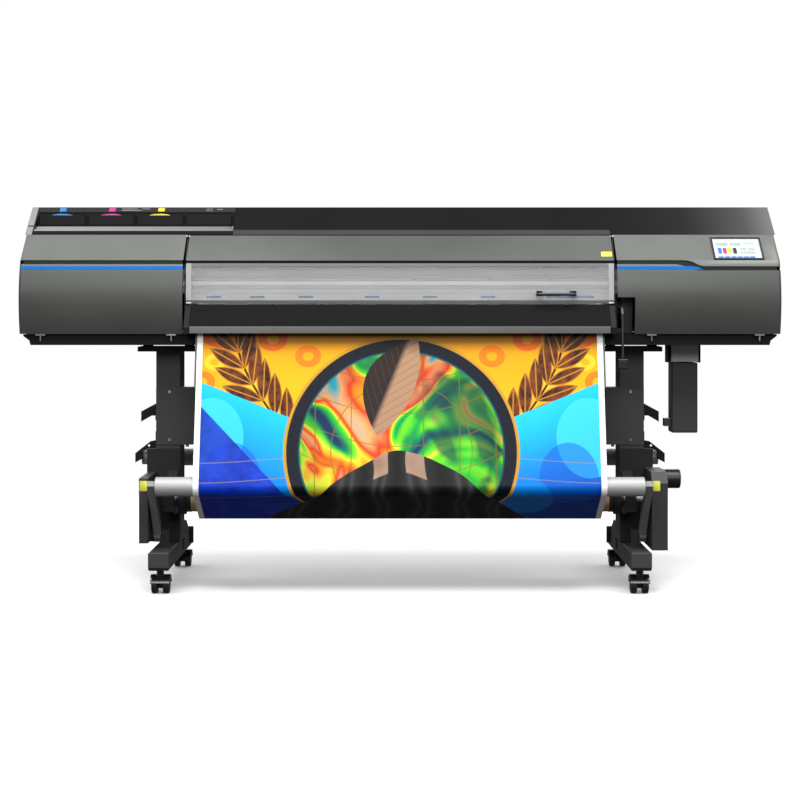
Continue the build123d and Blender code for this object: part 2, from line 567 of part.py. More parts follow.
def foot(side):
    a, b = sx(side, FOOT_X0, FOOT_X1)
    pts = [(-330, 95), (-330, FOOT_Z1 - 2), (-328, FOOT_Z1), (250, FOOT_Z1), (REAR_Y, 120), (REAR_Y, 95), (REAR_Y - 12, FOOT_Z0),
           (-318, FOOT_Z0)]
    f = prism_x(pts, a, b)
    f = fillet(f.edges().filter_by(Axis.Y), 4)
    hol = [(-326, 99), (-326, FOOT_Z1 - 4), (249, FOOT_Z1 - 4), (REAR_Y - 4, 117), (REAR_Y - 4, 97), (REAR_Y - 13, FOOT_Z0 + 4),
           (-316, FOOT_Z0 + 4)]
    f = f - prism_x(hol, a + 3, b - 3)
    return f


P["stand_feet"] = group(both(foot))


def foot_gusset(side):
    a, b = sx(side, 765.5, 770.8)
    g = prism_x([(62, 130), (62, 200), (120, 200), (215, 150), (215, 104), (62, 104)], a, b)
    return g + box(*sx(side, 751, 770.8), 212, 216, 104, 164)


P["foot_gussets"] = group(both(foot_gusset))


# ---------------------------------------------------------------- casters
def caster(side, y):
    x = side * CASTER_X
    zc = WHEEL_R
    hood = cyl("x", y, zc, WHEEL_R + 3.5, x - 32.5, x + 32.5)
    hood = hood & box(x - 40, x + 40, y - 60, y + 60, zc + 6, zc + 60)
    hood = hood + box(x - 14, x + 14, y - TRAIL - 14, y, zc + 8, zc + 33)
    hood = hood - cyl("x", y, zc, WHEEL_R + 1.0, x - 31, x - 9) - cyl("x", y, zc, WHEEL_R + 1.0, x + 9, x + 31)
    hub = box(x - 8.6, x + 8.6, y - 10, y + 10, zc - 12, zc + 26)
    neck = cyl("z", x, y - TRAIL, 12, zc + 30, 77)
    stem = cyl("z", x, y - TRAIL, 5, 76, 100)
    return (hood + hub - cyl("x", y, zc, 4.05, x - 40, x + 40)) + neck + stem


def wheels(side, y):
    x = side * CASTER_X
    out = cyl("x", y, WHEEL_R, 4.0, x - 20, x + 20)
    for k in (-1, 1):
        w = cyl("x", y, WHEEL_R, WHEEL_R, *((x + 9.4, x + 9.4 + WHEEL_W - 1.8) if k > 0 else (x - 9.4 - WHEEL_W + 1.8, x - 9.4)))
        w = fillet(w.edges(), 4)
        out = out + w
    return out


for s, sn in ((-1, "left"), (1, "right")):
    for y, yn in ((CASTER_YF, "front"), (CASTER_YR, "rear")):
        P[f"caster_hood_{yn}_{sn}"] = caster(s, y)
        P[f"caster_wheels_{yn}_{sn}"] = wheels(s, y)
# caster sockets let into the foot's underside
sock = []
for s in (-1, 1):
    for y in (CASTER_YF, CASTER_YR):
        P["stand_feet"] = P["stand_feet"] - cyl("z", s * CASTER_X, y - TRAIL, 9, 80, 90)
        sock.append(tube("z", s * CASTER_X, y - TRAIL, 8.95, 5.06, 78, 101))
P["caster_sockets"] = group(sock)

# ---------------------------------------------------------------- front cover (hinged)
def slope_pt(t):
    return (SEAM_Y - 101.0 * t, SEAM_Z - (SEAM_Z - GROOVE_Z1) * t)


fc = prism_x([(SEAM_Y - 3, SEAM_Z - 2.6), (-201, GROOVE_Z1), (-206, 1112), (-202, 1112), (-196.5, 1121), (-104.5, 1203.5)], -MID_HALF, MID_HALF)
for a, b in ((-MID_HALF, -709), (709, MID_HALF)):
    fc = fc + prism_x([(-206, 1113), (-212.5, 974), (-205, 974), (-199, 1113)], a, b)
fc = fc + prism_x([(-211.4, 986), (-212.2, 974), (-205, 974), (-204.6, 986)], -709.5, 709.5)
fc = fc + prism_x([(-206, 1113), (-206.6, 1101), (-200, 1101), (-199, 1113)], -709.5, 709.5)
for a, b in ((-MID_HALF, -MID_HALF + 3), (MID_HALF - 3, MID_HALF)):
    fc = fc + prism_x([(-103, 1208.5), (-200, 1119), (-205, 1000), (-196, 1000), (-192, 1108), (-98, 1202.5), (-98, 1206)], a, b)
    fc = fc + cyl("x", HINGE_Y, HINGE_Z, 4.5, a, b) - cyl("x", HINGE_Y, HINGE_Z, 2.05, a - 1, b + 1)
P["front_cover"] = fc
P["front_window"] = prism_x([(-206.3, 1100.8), (-211.2, 986.2), (-208.7, 986.2), (-203.8, 1100.8)], -708.8, 708.8)
hx0, hx1 = 461.0, 596.0
h = box(hx0, hx1, -241, -229, 1000, 1011)
h = fillet(h.edges().filter_by(Axis.X), 4)
P["cover_handle"] = h
P["handle_mounts"] = group([
    (prism_z([(x0, -228.9), (x0 + 22 * d, -228.9), (x0 + 14 * d, -211.6), (x0, -211.6)], 1003, 1017)
     + prism_z([(x0, -242), (x0 + 10 * d, -242), (x0 + 10 * d, -228.9), (x0, -228.9)], 1011.1, 1017))
    for x0, d in ((hx0, 1), (hx1, -1))])
P["hinge_pins"] = group([cyl("x", HINGE_Y, HINGE_Z, 2.0, *sx(s, 723, 734)) + cyl("x", HINGE_Y, HINGE_Z, 4, *sx(s, 734.1, 737)) for s in (-1, 1)])

# ---------------------------------------------------------------- front apron
P["front_apron_panel"] = prism_x([(-213, 972.6), (-262, 899), (-262, 895), (-259, 895), (-210, 970)], -711, 711)
P["front_apron_lip"] = prism_x([(-265.2, 897.5), (-265.2, 874), (-240, 874), (-240, 877), (-262.2, 877), (-262.2, 897.5)], -709, 709)
P["apron_brackets"] = group([
    prism_x([(-194.2, 968), (-212, 968), (-262, 894), (-262, 872), (-194.2, 872)], *sx(s, 711.2, 729)) for s in (-1, 1)])

# ---------------------------------------------------------------- roller guard with position marks
P["roller_guard"] = prism_x([(-119, 982), (-119, 1007), (-106, 1009.8), (-100, 1009.8), (-100, 1007.8), (-106, 1007.8), (-117, 1005), (-117, 982)], -730.9, 730.9)
marks = [box(x - 25, x + 25, -119.8, -119.1, 993, 1001) for x in PINCH_X[:-1]] + [box(505, 668, -119.8, -119.1, 993, 1001)]
P["position_marks"] = group(marks)
P["guard_screws"] = group([cyl("y", x, 989, 2.6, -120.6, -119.1) for x in range(-690, 700, 92)]
                          + [cyl("y", x, 1080, 3.2, -105.6, -104.1) for x in range(-600, 700, 300)])

# ---------------------------------------------------------------- pinch rollers
arms = cyl("x", PINCH_SY, PINCH_SZ, 6, -740, 740)
for x in PINCH_X:
    arms = arms + prism_x([(30, 989), (30, 1003), (-30, 1001), (-64, 992), (-66, 984), (-56, 986), (-20, 991)], x - 9, x + 9) 
    arms = arms - box(x - 6.2, x + 6.2, -80, -44, 975, 990.5)
    arms = arms + cyl("x", GRIT_Y, 982.2, 2.0, x - 26, x + 26)
P["pinch_arms"] = arms
rollers = []
for x in PINCH_X:
    for k in (-1, 1):
        a, b = (x + 10.5, x + 24.5) if k > 0 else (x - 24.5, x - 10.5)
        rollers.append(tube("x", GRIT_Y, 982.2, PINCH_R, 2.05, a, b))
P["pinch_rollers"] = group(rollers)

# ---------------------------------------------------------------- grit shaft and feed drive
gs = cyl("x", GRIT_Y, GRIT_Z, 9, -745, 800)
for x in PINCH_X:
    gs = gs + cyl("x", GRIT_Y, GRIT_Z, GRIT_R, x - 28, x + 28)
P["grit_shaft"] = gs
P["feed_gear"] = gear_x(GEAR_BIG, GRIT_Y, GRIT_Z, 772, 782, 9.0)
FM_Y, FM_Z = GRIT_Y + GEAR_CD, GRIT_Z
P["feed_pinion"] = gear_x(GEAR_SMALL, FM_Y, FM_Z, 771, 783, 4.0, phase=mesh_phase(0.0, GEAR_BIG, GEAR_SMALL)) + cyl("x", FM_Y, FM_Z, 4, 768, 786)
P["feed_motor"] = rbox(788, 850, FM_Y - 28, FM_Y + 28, FM_Z - 28, FM_Z + 28, 6, Axis.X) 
P["grit_bearings"] = group([tube("x", GRIT_Y, GRIT_Z, 17, 9.06, *sx(s, 734.05, 742)) for s in (-1, 1)])

# ---------------------------------------------------------------- carriage and cutter
car = box(830, 1010, -184, -106.5, 1013, 1102)
car = fillet(car.edges().filter_by(Axis.Z), 8)
car = car + box(870, 1000, -180, -126, 979, 1013.5)
car = car + box(840, 870, -107, -100.4, 1029.3, 1032.7) + box(970, 1000, -107, -100.4, 1029.3, 1032.7)
car = car + box(840, 870, -107, -98.4, 1058, 1062) + box(970, 1000, -107, -98.4, 1058, 1062)
car = car + box(900, 940, -110, -106, 1095, 1119) + box(900, 940, -110, -82, 1116, 1119)
car = car - cyl("z", 850, -150, 10.05, 1000, 1110)
P["tool_carriage"] = car
P["print_head"] = group([box(x, x + 24, -176, -130, 975.6, 978.9) for x in (880, 908, 936, 964)])
P["cutter_holder"] = cyl("z", 850, -150, 10.0, 1004, 1106) + cyl("z", 850, -150, 4, 982, 1004) + Pos(850, -150, 980) * Cone(1, 4, 4)
belt = box(-1256, 1256, -92, -84, 1098, 1114) - box(-1254.5, 1254.5, -94, -82, 1099.5, 1112.5)
P["carriage_belt"] = belt
P["belt_pulleys"] = group([cyl("y", s * 1243, 1106, 6.2, -92, -84) for s in (-1, 1)])
P["carriage_motor"] = rbox(1215, 1271, -79, -22, 1100, 1156, 6, Axis.Y)

# ---------------------------------------------------------------- loading lever
lev = prism_x([(-120, 951), (-120, 969), (-214, 962), (-232, 940), (-240, 790), (-229, 788), (-221, 932), (-208, 947)], LEVER_X - 3.5, LEVER_X + 3.5)
lev = lev + cyl("x", LEVER_Y, LEVER_Z, 12, LEVER_X - 5, LEVER_X + 5) - cyl("x", LEVER_Y, LEVER_Z, 6.06, LEVER_X - 9, LEVER_X + 9)
P["loading_lever"] = lev
g = box(LEVER_X - 17, LEVER_X + 17, -245, -224, 753, 787.5)
P["lever_grip"] = fillet(g.edges(), 4)
P["lever_pivot"] = cyl("x", LEVER_Y, LEVER_Z, 6.0, 734.3, 764) + cyl("x", LEVER_Y, LEVER_Z, 9, 760, 764)
P["lever_plate"] = box(740, 797, -150, -147.5, 872, 996) - box(746, 761, -160, -140, 890, 996.5)

# ---------------------------------------------------------------- rear cover and ink bay
BAY_X0, BAY_X1 = -1298.0, -580.0


def top_wire(d=0.0):
    z0 = SEAM_Z + 0.4
    if not d:
        return Polyline((0, SEAM_Y + 3, z0), (0, 30, TOP_Z), (0, 190, TOP_Z), (0, 240, 1262), (0, 240, z0), close=True)
    return Polyline((0, SEAM_Y + 1 + d * 2.2, z0 - 10), (0, SEAM_Y + 1 + d * 2.2, z0), (0, 30 + d * 0.4, TOP_Z - d), (0, 190 - d * 0.4, TOP_Z - d), (0, 240 - d, 1262 - d * 0.5),
                    (0, 240 - d, z0 - 10), close=True)


def top_body(x0, x1, d=0.0):
    return Pos(x0, 0, 0) * extrude(make_face(top_wire(d)), amount=x1 - x0, dir=(1, 0, 0))


rc = top_body(BAY_X1 + 1, 1298) - top_body(BAY_X1 + 4, 1295, WALL)
rc = rc + box(BAY_X1 + 1, MID_HALF, 237, 240, 1000, SEAM_Z + 1) + box(-MID_HALF, BAY_X1 + 2, 237, 240, 1000, SEAM_Z + 0.3)
P["rear_cover"] = rc

CHEEK = 26.0                              # width of the bay's end cheek
P["bay_cheek"] = top_body(BAY_X0, BAY_X0 + CHEEK) - box(BAY_X0 + 3, BAY_X0 + CHEEK - 3, -60, 225, 1200, 1246)
bay = top_body(BAY_X0 + CHEEK + 0.1, BAY_X1)
bay = bay - box(BAY_X0 + CHEEK + 3, BAY_X1 - 3, -72, -8, 1200, 1227) - box(BAY_X0 + CHEEK + 3, BAY_X1 - 3, -9, 237, 1200, 1245.5)
tray_w = 160.0
x = -1266.0
TRAYS = []                                # X span of each ink slot
for i in range(4):
    TRAYS.append((x + i * 171.5, x + i * 171.5 + tray_w))
# stepped front: ledge, slot fronts and header band
bay = bay - prism_x([(-130, 1231), (-52, 1231), (-8, 1248), (-8, 1292), (8, 1292), (8, 1306), (-60, 1306), (-130, 1280)], BAY_X0 + CHEEK - 1, BAY_X1 - 4)
for a, b in TRAYS:
    bay = bay - box(a, b, -30, 202, 1249.5, 1291)
P["ink_bay"] = bay
names = ["cyan", "magenta", "yellow", "black"]
for (a, b), nm in zip(TRAYS, names):
    t = box(a + 1, b - 1, -8, 198, 1250.5, 1289.5) - box(a + 4, b - 4, -3, 194, 1253.5, 1300)
    pouch = fillet(box(a + 6, b - 6, 0, 190, 1253.6, 1280).edges().filter_by(Axis.Z), 10)
    P[f"ink_tray_{nm}"] = group(t, pouch)
# ---------------------------------------------------------------- waste bottle
wb = box(946, 1041, -52, 40, 771, PAN_Z - 0.1) - box(949, 1038, -49, 37, 774, PAN_Z + 5)
wb = wb - cyl("z", 993.5, -5, 18, 765, 780)
P["bottle_bracket"] = wb
bt = box(948, 1039, -50, 38, 523, 768)
bt = fillet(bt.edges().filter_by(Axis.Z), 8)
bt = fillet(bt.faces().filter_by(Axis.Z).edges(), 5)
bt = bt + cyl("z", 993.5, -5, 16, 766, 800)
P["waste_bottle"] = bt
P["bottle_latches"] = group([box(936, 945.8, -40, 30, 768, PAN_Z - 0.1), box(1041.2, 1050, -40, 30, 768, PAN_Z - 0.1)])
P["bottle_grip"] = box(925, 947.8, -30, 10, 545, 572)

# ---------------------------------------------------------------- internals
P["capping_station"] = box(872, 1000, -178, -128, 905, 968) + box(880, 992, -172, -134, 968, 973.5) + box(900, 972, -165, -100, 874, 905.5)
P["main_board"] = box(-1180, -860, 200, 203, 890, 1130) + box(-1150, -1100, 180, 200.2, 920, 980) + box(-1050, -980, 184, 200.2, 1000, 1060)
P["power_supply"] = box(-1200, -1000, -80, 20, 836.1, 930)
P["board_standoffs"] = group([cyl("y", x, z, 4, 203.0, 236.9) for x in (-1170, -870) for z in (900, 1120)])
P["power_inlet"] = box(1190, 1250, 240.2, 246, 880, 930) - box(1205, 1235, 242, 247, 895, 915)
P["right_cover"] = P["right_cover"] - box(1149, 1173, 230, 245, 887, 919)
P["power_switch"] = fillet(box(1150, 1172, 240.2, 249, 888, 918).edges().filter_by(Axis.Y), 2)

KEEP = dict(P)
# small pieces of one body and one finish share a node, as separate solids
def merge(new, *olds):
    KEEP[new] = group([KEEP.pop(o) for o in olds])


merge("chassis", "chassis_pan", "front_beam", "body_spacers", "apron_brackets", "bottle_latches")
merge("side_frames", "side_frames", "lever_plate", "guide_brackets", "platen_brackets")
merge("feed_guides", "heater_apron", "rear_feed_guide")
merge("web_brackets", "takeup_mount_plates", "takeup_supports", "dancer_pivots", "supply_arms", "rear_hooks")
merge("takeup_cases", "takeup_end_case", "takeup_drive_case")
merge("motors", "takeup_motor", "feed_motor", "carriage_motor")
merge("stand_frame", "stand_posts", "stand_top_plates", "stand_feet", "foot_gussets")
merge("fasteners", "cover_thumbscrews", "beam_bolts", "guard_screws", "caster_sockets", "grit_bearings", "lever_pivot", "hinge_pins")
merge("internals", "capping_station", "main_board", "board_standoffs", "power_supply", "power_inlet")
merge("belt_and_pulleys", "carriage_belt", "belt_pulleys")
merge("guide_rail", "guide_rail", "roller_guard")
merge("parting_trim", "parting_trim", "cutting_strip")
merge("accent_stripes", "accent_stripes", "position_marks")
merge("cover_handle", "cover_handle", "handle_mounts")
merge("loading_lever", "loading_lever", "lever_grip")
merge("grit_shaft", "grit_shaft", "feed_gear")
merge("tool_carriage", "tool_carriage", "print_head")
merge("dancer_arms", "dancer_arm_left", "dancer_arm_right", "dancer_end_pins")
merge("takeup_shafts", "takeup_shafts", "takeup_gear")
merge("supply_roll", "supply_roll", "supply_core")
merge("supply_shaft", "supply_tube", "supply_shaft_ends")
merge("waste_bottle", "waste_bottle", "bottle_grip")

print("nodes", len(KEEP))
allc = Compound(children=[s for v in KEEP.values() for s in v.solids()])
bb = allc.bounding_box()
print("bbox", [round(v, 2) for v in (bb.min.X, bb.min.Y, bb.min.Z, bb.max.X, bb.max.Y, bb.max.Z)])
for f in os.listdir("parts"):
    if f.endswith(".step") and f[:-5] not in KEEP:
        os.remove(os.path.join("parts", f))
for name, shape in KEEP.items():
    sol = shape.solids()
    export_step(Compound(children=list(sol)) if len(sol) > 1 else sol[0], f"parts/{name}.step")
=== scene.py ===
"""Looks of a wide-format printer cutter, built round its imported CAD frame. Metres, +Z up, front towards -Y."""
import bpy
import bmesh
import json
import math
from mathutils import Vector, Matrix


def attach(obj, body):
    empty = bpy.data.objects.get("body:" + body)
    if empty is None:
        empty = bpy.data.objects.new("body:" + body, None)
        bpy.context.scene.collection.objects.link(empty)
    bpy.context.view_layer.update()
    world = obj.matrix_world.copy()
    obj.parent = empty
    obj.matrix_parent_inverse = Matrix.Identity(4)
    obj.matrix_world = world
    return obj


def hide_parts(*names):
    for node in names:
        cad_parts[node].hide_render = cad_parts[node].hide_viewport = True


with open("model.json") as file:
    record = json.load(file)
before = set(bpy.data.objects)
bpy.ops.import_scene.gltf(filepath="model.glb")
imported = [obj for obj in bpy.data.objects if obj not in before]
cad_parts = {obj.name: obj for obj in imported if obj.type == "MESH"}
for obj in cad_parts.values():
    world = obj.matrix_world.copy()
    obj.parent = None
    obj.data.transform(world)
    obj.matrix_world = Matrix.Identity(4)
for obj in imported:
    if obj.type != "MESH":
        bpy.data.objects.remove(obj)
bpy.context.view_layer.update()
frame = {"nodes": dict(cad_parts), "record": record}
NODES = frame["nodes"]
scene = bpy.context.scene

# ------------------------------------------------------------------ camera
cam_data = bpy.data.cameras.new("cam")
cam_data.sensor_width = 36.0
cam_data.lens = 78.84
cam_data.shift_y = -0.125
cam_data.clip_end = 100
cam = bpy.data.objects.new("cam", cam_data)
cam.location = (0, -6.161, 0.9865)
cam.rotation_euler = (math.radians(90), 0, 0)
scene.collection.objects.link(cam)
scene.camera = cam
scene.view_settings.view_transform = "Standard"
scene.view_settings.look = "None"
scene.view_settings.exposure = 0.0


# ------------------------------------------------------------------ node helpers
class Mat:
    """A Principled material under construction, with short calls for its nodes."""

    def __init__(self, name):
        self.mat = bpy.data.materials.new(name)
        self.mat.use_nodes = True
        self.t = self.mat.node_tree
        self.bsdf = self.t.nodes["Principled BSDF"]
        self.tc = self.t.nodes.new("ShaderNodeTexCoord")

    def put(self, name, value):
        s = self.bsdf.inputs[name]
        if isinstance(value, bpy.types.NodeSocket):
            self.t.links.new(value, s)
        elif isinstance(value, (tuple, list)):
            s.default_value = (*value, 1.0) if len(value) == 3 and len(s.default_value) == 4 else value
        else:
            s.default_value = value
        return self

    def node(self, kind, **inputs):
        n = self.t.nodes.new(kind)
        for k, v in inputs.items():
            self.feed(n.inputs[k.replace("_", " ")] if k.replace("_", " ") in n.inputs else n.inputs[int(k[1:])], v)
        return n

    def feed(self, sock, v):
        if isinstance(v, bpy.types.NodeSocket):
            self.t.links.new(v, sock)
        elif isinstance(v, (tuple, list)) and sock.type == "RGBA" and len(v) == 3:
            sock.default_value = (*v, 1.0)
        else:
            sock.default_value = v

    def coords(self, scale=(1, 1, 1), rot=(0, 0, 0), loc=(0, 0, 0), kind="Object"):
        m = self.t.nodes.new("ShaderNodeMapping")
        self.t.links.new(self.tc.outputs[kind], m.inputs["Vector"])
        m.inputs["Scale"].default_value = scale
        m.inputs["Rotation"].default_value = rot
        m.inputs["Location"].default_value = loc
        return m.outputs["Vector"]

    def noise(self, scale, detail=2.0, rough=0.5, vec=None, distort=0.0):
        n = self.t.nodes.new("ShaderNodeTexNoise")
        self.t.links.new(vec or self.tc.outputs["Object"], n.inputs["Vector"])
        n.inputs["Scale"].default_value = scale
        n.inputs["Detail"].default_value = detail
        n.inputs["Roughness"].default_value = rough
        n.inputs["Distortion"].default_value = distort
        return n.outputs["Fac"]

    def math(self, op, a, b=0.0, clamp=False):
        n = self.t.nodes.new("ShaderNodeMath")
        n.operation = op
        n.use_clamp = clamp
        self.feed(n.inputs[0], a)
        self.feed(n.inputs[1], b)
        return n.outputs[0]

    def span(self, v, a, b, c=0.0, d=1.0, smooth=False):
        n = self.t.nodes.new("ShaderNodeMapRange")
        n.interpolation_type = "SMOOTHSTEP" if smooth else "LINEAR"
        n.clamp = True
        self.feed(n.inputs["Value"], v)
        for k, x in (("From Min", a), ("From Max", b), ("To Min", c), ("To Max", d)):
            n.inputs[k].default_value = x
        return n.outputs["Result"]

    def mix(self, fac, a, b, mode="MIX"):
        n = self.t.nodes.new("ShaderNodeMix")
        n.data_type = "RGBA"
        n.blend_type = mode
        self.feed(n.inputs[0], fac)
        self.feed(n.inputs[6], a)
        self.feed(n.inputs[7], b)
        return n.outputs[2]

    def ramp(self, fac, stops, interp="LINEAR"):
        n = self.t.nodes.new("ShaderNodeValToRGB")
        n.color_ramp.interpolation = interp
        e = n.color_ramp.elements
        while len(e) < len(stops):
            e.new(0.5)
        for i, (p, c) in enumerate(stops):
            e[i].position = p
            e[i].color = (*c, 1.0) if len(c) == 3 else c
        self.feed(n.inputs["Fac"], fac)
        return n.outputs["Color"]

    def bump(self, height, strength=0.2, distance=0.0005, prev=None):
        n = self.t.nodes.new("ShaderNodeBump")
        n.inputs["Strength"].default_value = strength
        n.inputs["Distance"].default_value = distance
        self.feed(n.inputs["Height"], height)
        if prev is not None:
            self.t.links.new(prev, n.inputs["Normal"])
        return n.outputs["Normal"]

    def xyz(self, vec=None):
        n = self.t.nodes.new("ShaderNodeSeparateXYZ")
        self.t.links.new(vec or self.tc.outputs["Object"], n.inputs[0])
        return n.outputs[0], n.outputs[1], n.outputs[2]


def tone(c, k):
    return tuple(max(0.0, min(1.0, v * k)) for v in c)


def surface(name, col, rough, metal=0.0, coat=0.0, coat_rough=0.08, var=0.08, rvar=0.06, grain=1400.0, bump=0.12, depth=0.0002,
            blotch=3.0, spec=0.5, speck=0.25, streak=None, wave=0.0):
    """Plastic, paint or metal with tone drift, roughness drift, a fine grain and, on metals, drawn streaks."""
    m = Mat(name)
    big = m.noise(blotch, 3.0, 0.55)
    fine = m.noise(grain, 2.0, 0.6)
    if streak:
        sv = m.coords(scale=streak)
        line = m.noise(1.0, 4.0, 0.7, vec=sv)
        fine = m.math("ADD", m.math("MULTIPLY", fine, 0.35), m.math("MULTIPLY", line, 0.65))
    c = m.mix(m.span(big, 0.3, 0.7), tone(col, 1 - var), tone(col, 1 + var))
    c = m.mix(m.span(fine, 0.35, 0.65, 0.0, speck), c, tone(col, 1.0 + 3.0 * var))
    m.put("Base Color", c)
    m.put("Metallic", metal)
    m.put("Specular IOR Level", spec)
    r = m.math("ADD", m.span(big, 0.3, 0.7, rough - rvar, rough + rvar), m.span(fine, 0.3, 0.7, -rvar * 0.5, rvar * 0.5), clamp=True)
    m.put("Roughness", r)
    if coat:
        m.put("Coat Weight", coat)
        m.put("Coat Roughness", coat_rough)
    nrm = m.bump(fine, bump, depth)
    if wave:
        nrm = m.bump(m.noise(7.0, 1.0, 0.5), wave, 0.003, prev=nrm)
    m.put("Normal", nrm)
    return m


MATS = {}


MK = {}


def define(slot, *a, **k):
    MK[slot] = surface(slot, *a, **k)
    MATS[slot] = MK[slot].mat


def between(m, v, a, b, soft=0.0004):
    return m.math("MULTIPLY", m.span(v, a - soft, a + soft), m.span(v, b + soft, b - soft))


def over(m, mask, col, mode="MIX"):
    """Lay a colour over the base where mask is 1."""
    src = m.bsdf.inputs["Base Color"].links[0].from_socket
    m.put("Base Color", m.mix(mask, src, col, mode))


def grey(m, v):
    return m.node("ShaderNodeCombineXYZ", i0=v, i1=v, i2=v).outputs[0]


COVER = (0.110, 0.116, 0.107)
define("cover_grey", COVER, 0.40, metal=0.45, coat=0.06, coat_rough=0.30, grain=2600, bump=0.10, depth=0.00012, var=0.04, spec=0.5)
define("trim_dark", (0.013, 0.015, 0.013), 0.55, grain=1800, spec=0.08)
define("accent_blue", (0.0, 0.105, 0.36), 0.42, spec=0.1, grain=1500, bump=0.05)
define("panel_black", (0.012, 0.012, 0.013), 0.12, coat=0.7, coat_rough=0.04, grain=900, bump=0.03, depth=0.0001, wave=0.02)
define("screen", (0.42, 0.45, 0.465), 0.24, coat=0.1, grain=1200, bump=0.02, var=0.03)
define("chassis_black", (0.006, 0.006, 0.006), 0.52, grain=1500, bump=0.25, spec=0.12)
define("frame_steel", (0.020, 0.020, 0.021), 0.46, metal=0.1, grain=1300, spec=0.3)
define("apron_black", (0.007, 0.007, 0.0072), 0.60, grain=1600, bump=0.2, spec=0.03)
define("rail_alu", (0.56, 0.56, 0.565), 0.42, metal=0.45, grain=1200, streak=(2, 500, 500), bump=0.06, var=0.03, speck=0.1)
define("platen_alu", (0.11, 0.11, 0.112), 0.40, metal=0.4, grain=1400, streak=(5, 500, 500))
define("guide_grey", (0.055, 0.055, 0.058), 0.40, metal=0.3, grain=1400, bump=0.2)
define("bracket_black", (0.012, 0.012, 0.012), 0.46, grain=1200, bump=0.3, spec=0.3)
define("case_dark", (0.026, 0.027, 0.027), 0.48, grain=1500, bump=0.3, spec=0.3)
define("motor_black", (0.011, 0.011, 0.012), 0.38, metal=0.2, grain=1300, bump=0.25)
define("stand_dark", (0.040, 0.040, 0.040), 0.50, grain=1300, bump=0.25, spec=0.3)
define("zinc_steel", (0.55, 0.55, 0.56), 0.30, metal=1.0, grain=1500, bump=0.15, streak=(400, 400, 400))
define("lip_grey", (0.115, 0.115, 0.116), 0.42, metal=0.3, grain=1500, streak=(6, 500, 500))
define("top_black", (0.008, 0.008, 0.0085), 0.42, grain=900, bump=0.02, depth=0.0001, wave=0.02, spec=0.01)
define("bay_grey", (0.007, 0.007, 0.007), 0.50, grain=2200, bump=0.12, spec=0.03)
define("light_grey", (0.42, 0.425, 0.43), 0.46, grain=1900, bump=0.12)
define("inside_mixed", (0.06, 0.075, 0.065), 0.50, grain=700, bump=0.3, var=0.3)
define("belt_rubber", (0.018, 0.018, 0.018), 0.62, grain=1600, bump=0.4)
define("handle_black", (0.013, 0.013, 0.013), 0.20, coat=0.3, grain=1500, bump=0.06)
define("tray_dark", (0.0115, 0.0115, 0.012), 0.42, grain=2000, bump=0.08, spec=0.08)
define("lever_black", (0.012, 0.012, 0.012), 0.36, grain=1400, bump=0.2)
define("pinch_black", (0.02, 0.02, 0.02), 0.40, grain=1400, bump=0.2)
define("pinch_rubber", (0.024, 0.024, 0.025), 0.66, grain=1700, bump=0.3)
define("grit_steel", (0.50, 0.50, 0.51), 0.42, metal=1.0, grain=2600, bump=0.6)
define("pinion_brass", (0.62, 0.43, 0.16), 0.32, metal=1.0, grain=1600, bump=0.2)
define("carriage_black", (0.02, 0.02, 0.021), 0.34, coat=0.1, grain=1700, bump=0.15)
define("cutter_steel", (0.52, 0.52, 0.53), 0.26, metal=1.0, grain=1500, streak=(500, 500, 12))
define("dancer_alu", (0.36, 0.36, 0.365), 0.50, metal=0.25, grain=1500, streak=(3, 900, 900), bump=0.1, spec=0.3)
define("arm_grey", (0.19, 0.19, 0.192), 0.45, metal=0.2, grain=1500, bump=0.25)
define("film_back", (0.80, 0.80, 0.78), 0.34, grain=900, bump=0.05, var=0.02, streak=(3, 900, 900))
define("card_core", (0.40, 0.27, 0.15), 0.72, grain=800, bump=0.5, var=0.15, streak=(40, 500, 500))
define("flange_black", (0.014, 0.014, 0.014), 0.34, coat=0.1, grain=1700, bump=0.15)
define("shaft_steel", (0.33, 0.33, 0.335), 0.48, metal=0.3, grain=1500, streak=(4, 900, 900), bump=0.1, spec=0.3)
define("hood_black", (0.010, 0.010, 0.010), 0.16, coat=0.5, grain=1500, bump=0.06)
define("wheel_black", (0.016, 0.016, 0.016), 0.36, grain=1500, bump=0.2)
define("bottle_dark", (0.034, 0.034, 0.035), 0.44, grain=1600, bump=0.12, wave=0.03, spec=0.3)
define("switch_black", (0.012, 0.012, 0.012), 0.22, coat=0.3, grain=1500, bump=0.05)


# ---- colour laid by where it sits on the machine: parts of one moulding in another finish, and painted shade, highlights and reflections
m = MK["cover_grey"]
px, py, pz = m.xyz()
pax = m.math("ABSOLUTE", px)
# painted shade: the lower side covers are multiplied by a tone that changes with height
low = m.span(pz, 1.108, 1.100)
over(m, m.math("MULTIPLY", low, m.span(pax, 0.730, 0.734)), m.ramp(m.span(pz, 0.87, 1.10), [(0.0, (0.78, 0.78, 0.78)), (0.35, (0.64, 0.64, 0.64)), (0.6, (0.52, 0.52, 0.52)), (0.9, (0.50, 0.51, 0.50)), (1.0, (0.62, 0.63, 0.62))]), "MULTIPLY")
# painted shade: the upper front cover is multiplied darker towards the middle and lighter towards its ends
mid = m.math("MULTIPLY", m.span(pax, 0.7285, 0.7275), m.span(pz, 1.120, 1.1215))
over(m, mid, grey(m, m.span(pax, 0.0, 0.72, 0.50, 0.74, smooth=True)), "MULTIPLY")
lid = m.math("MULTIPLY", m.span(pax, 0.7285, 0.7275), m.span(pz, 1.1215, 1.1205))
over(m, lid, (0.16, 0.16, 0.161))
over(m, m.math("MULTIPLY", lid, m.math("MULTIPLY", m.span(pax, 0.7085, 0.7092), m.span(pz, 1.1130, 1.1120))), (0.34, 0.34, 0.34))
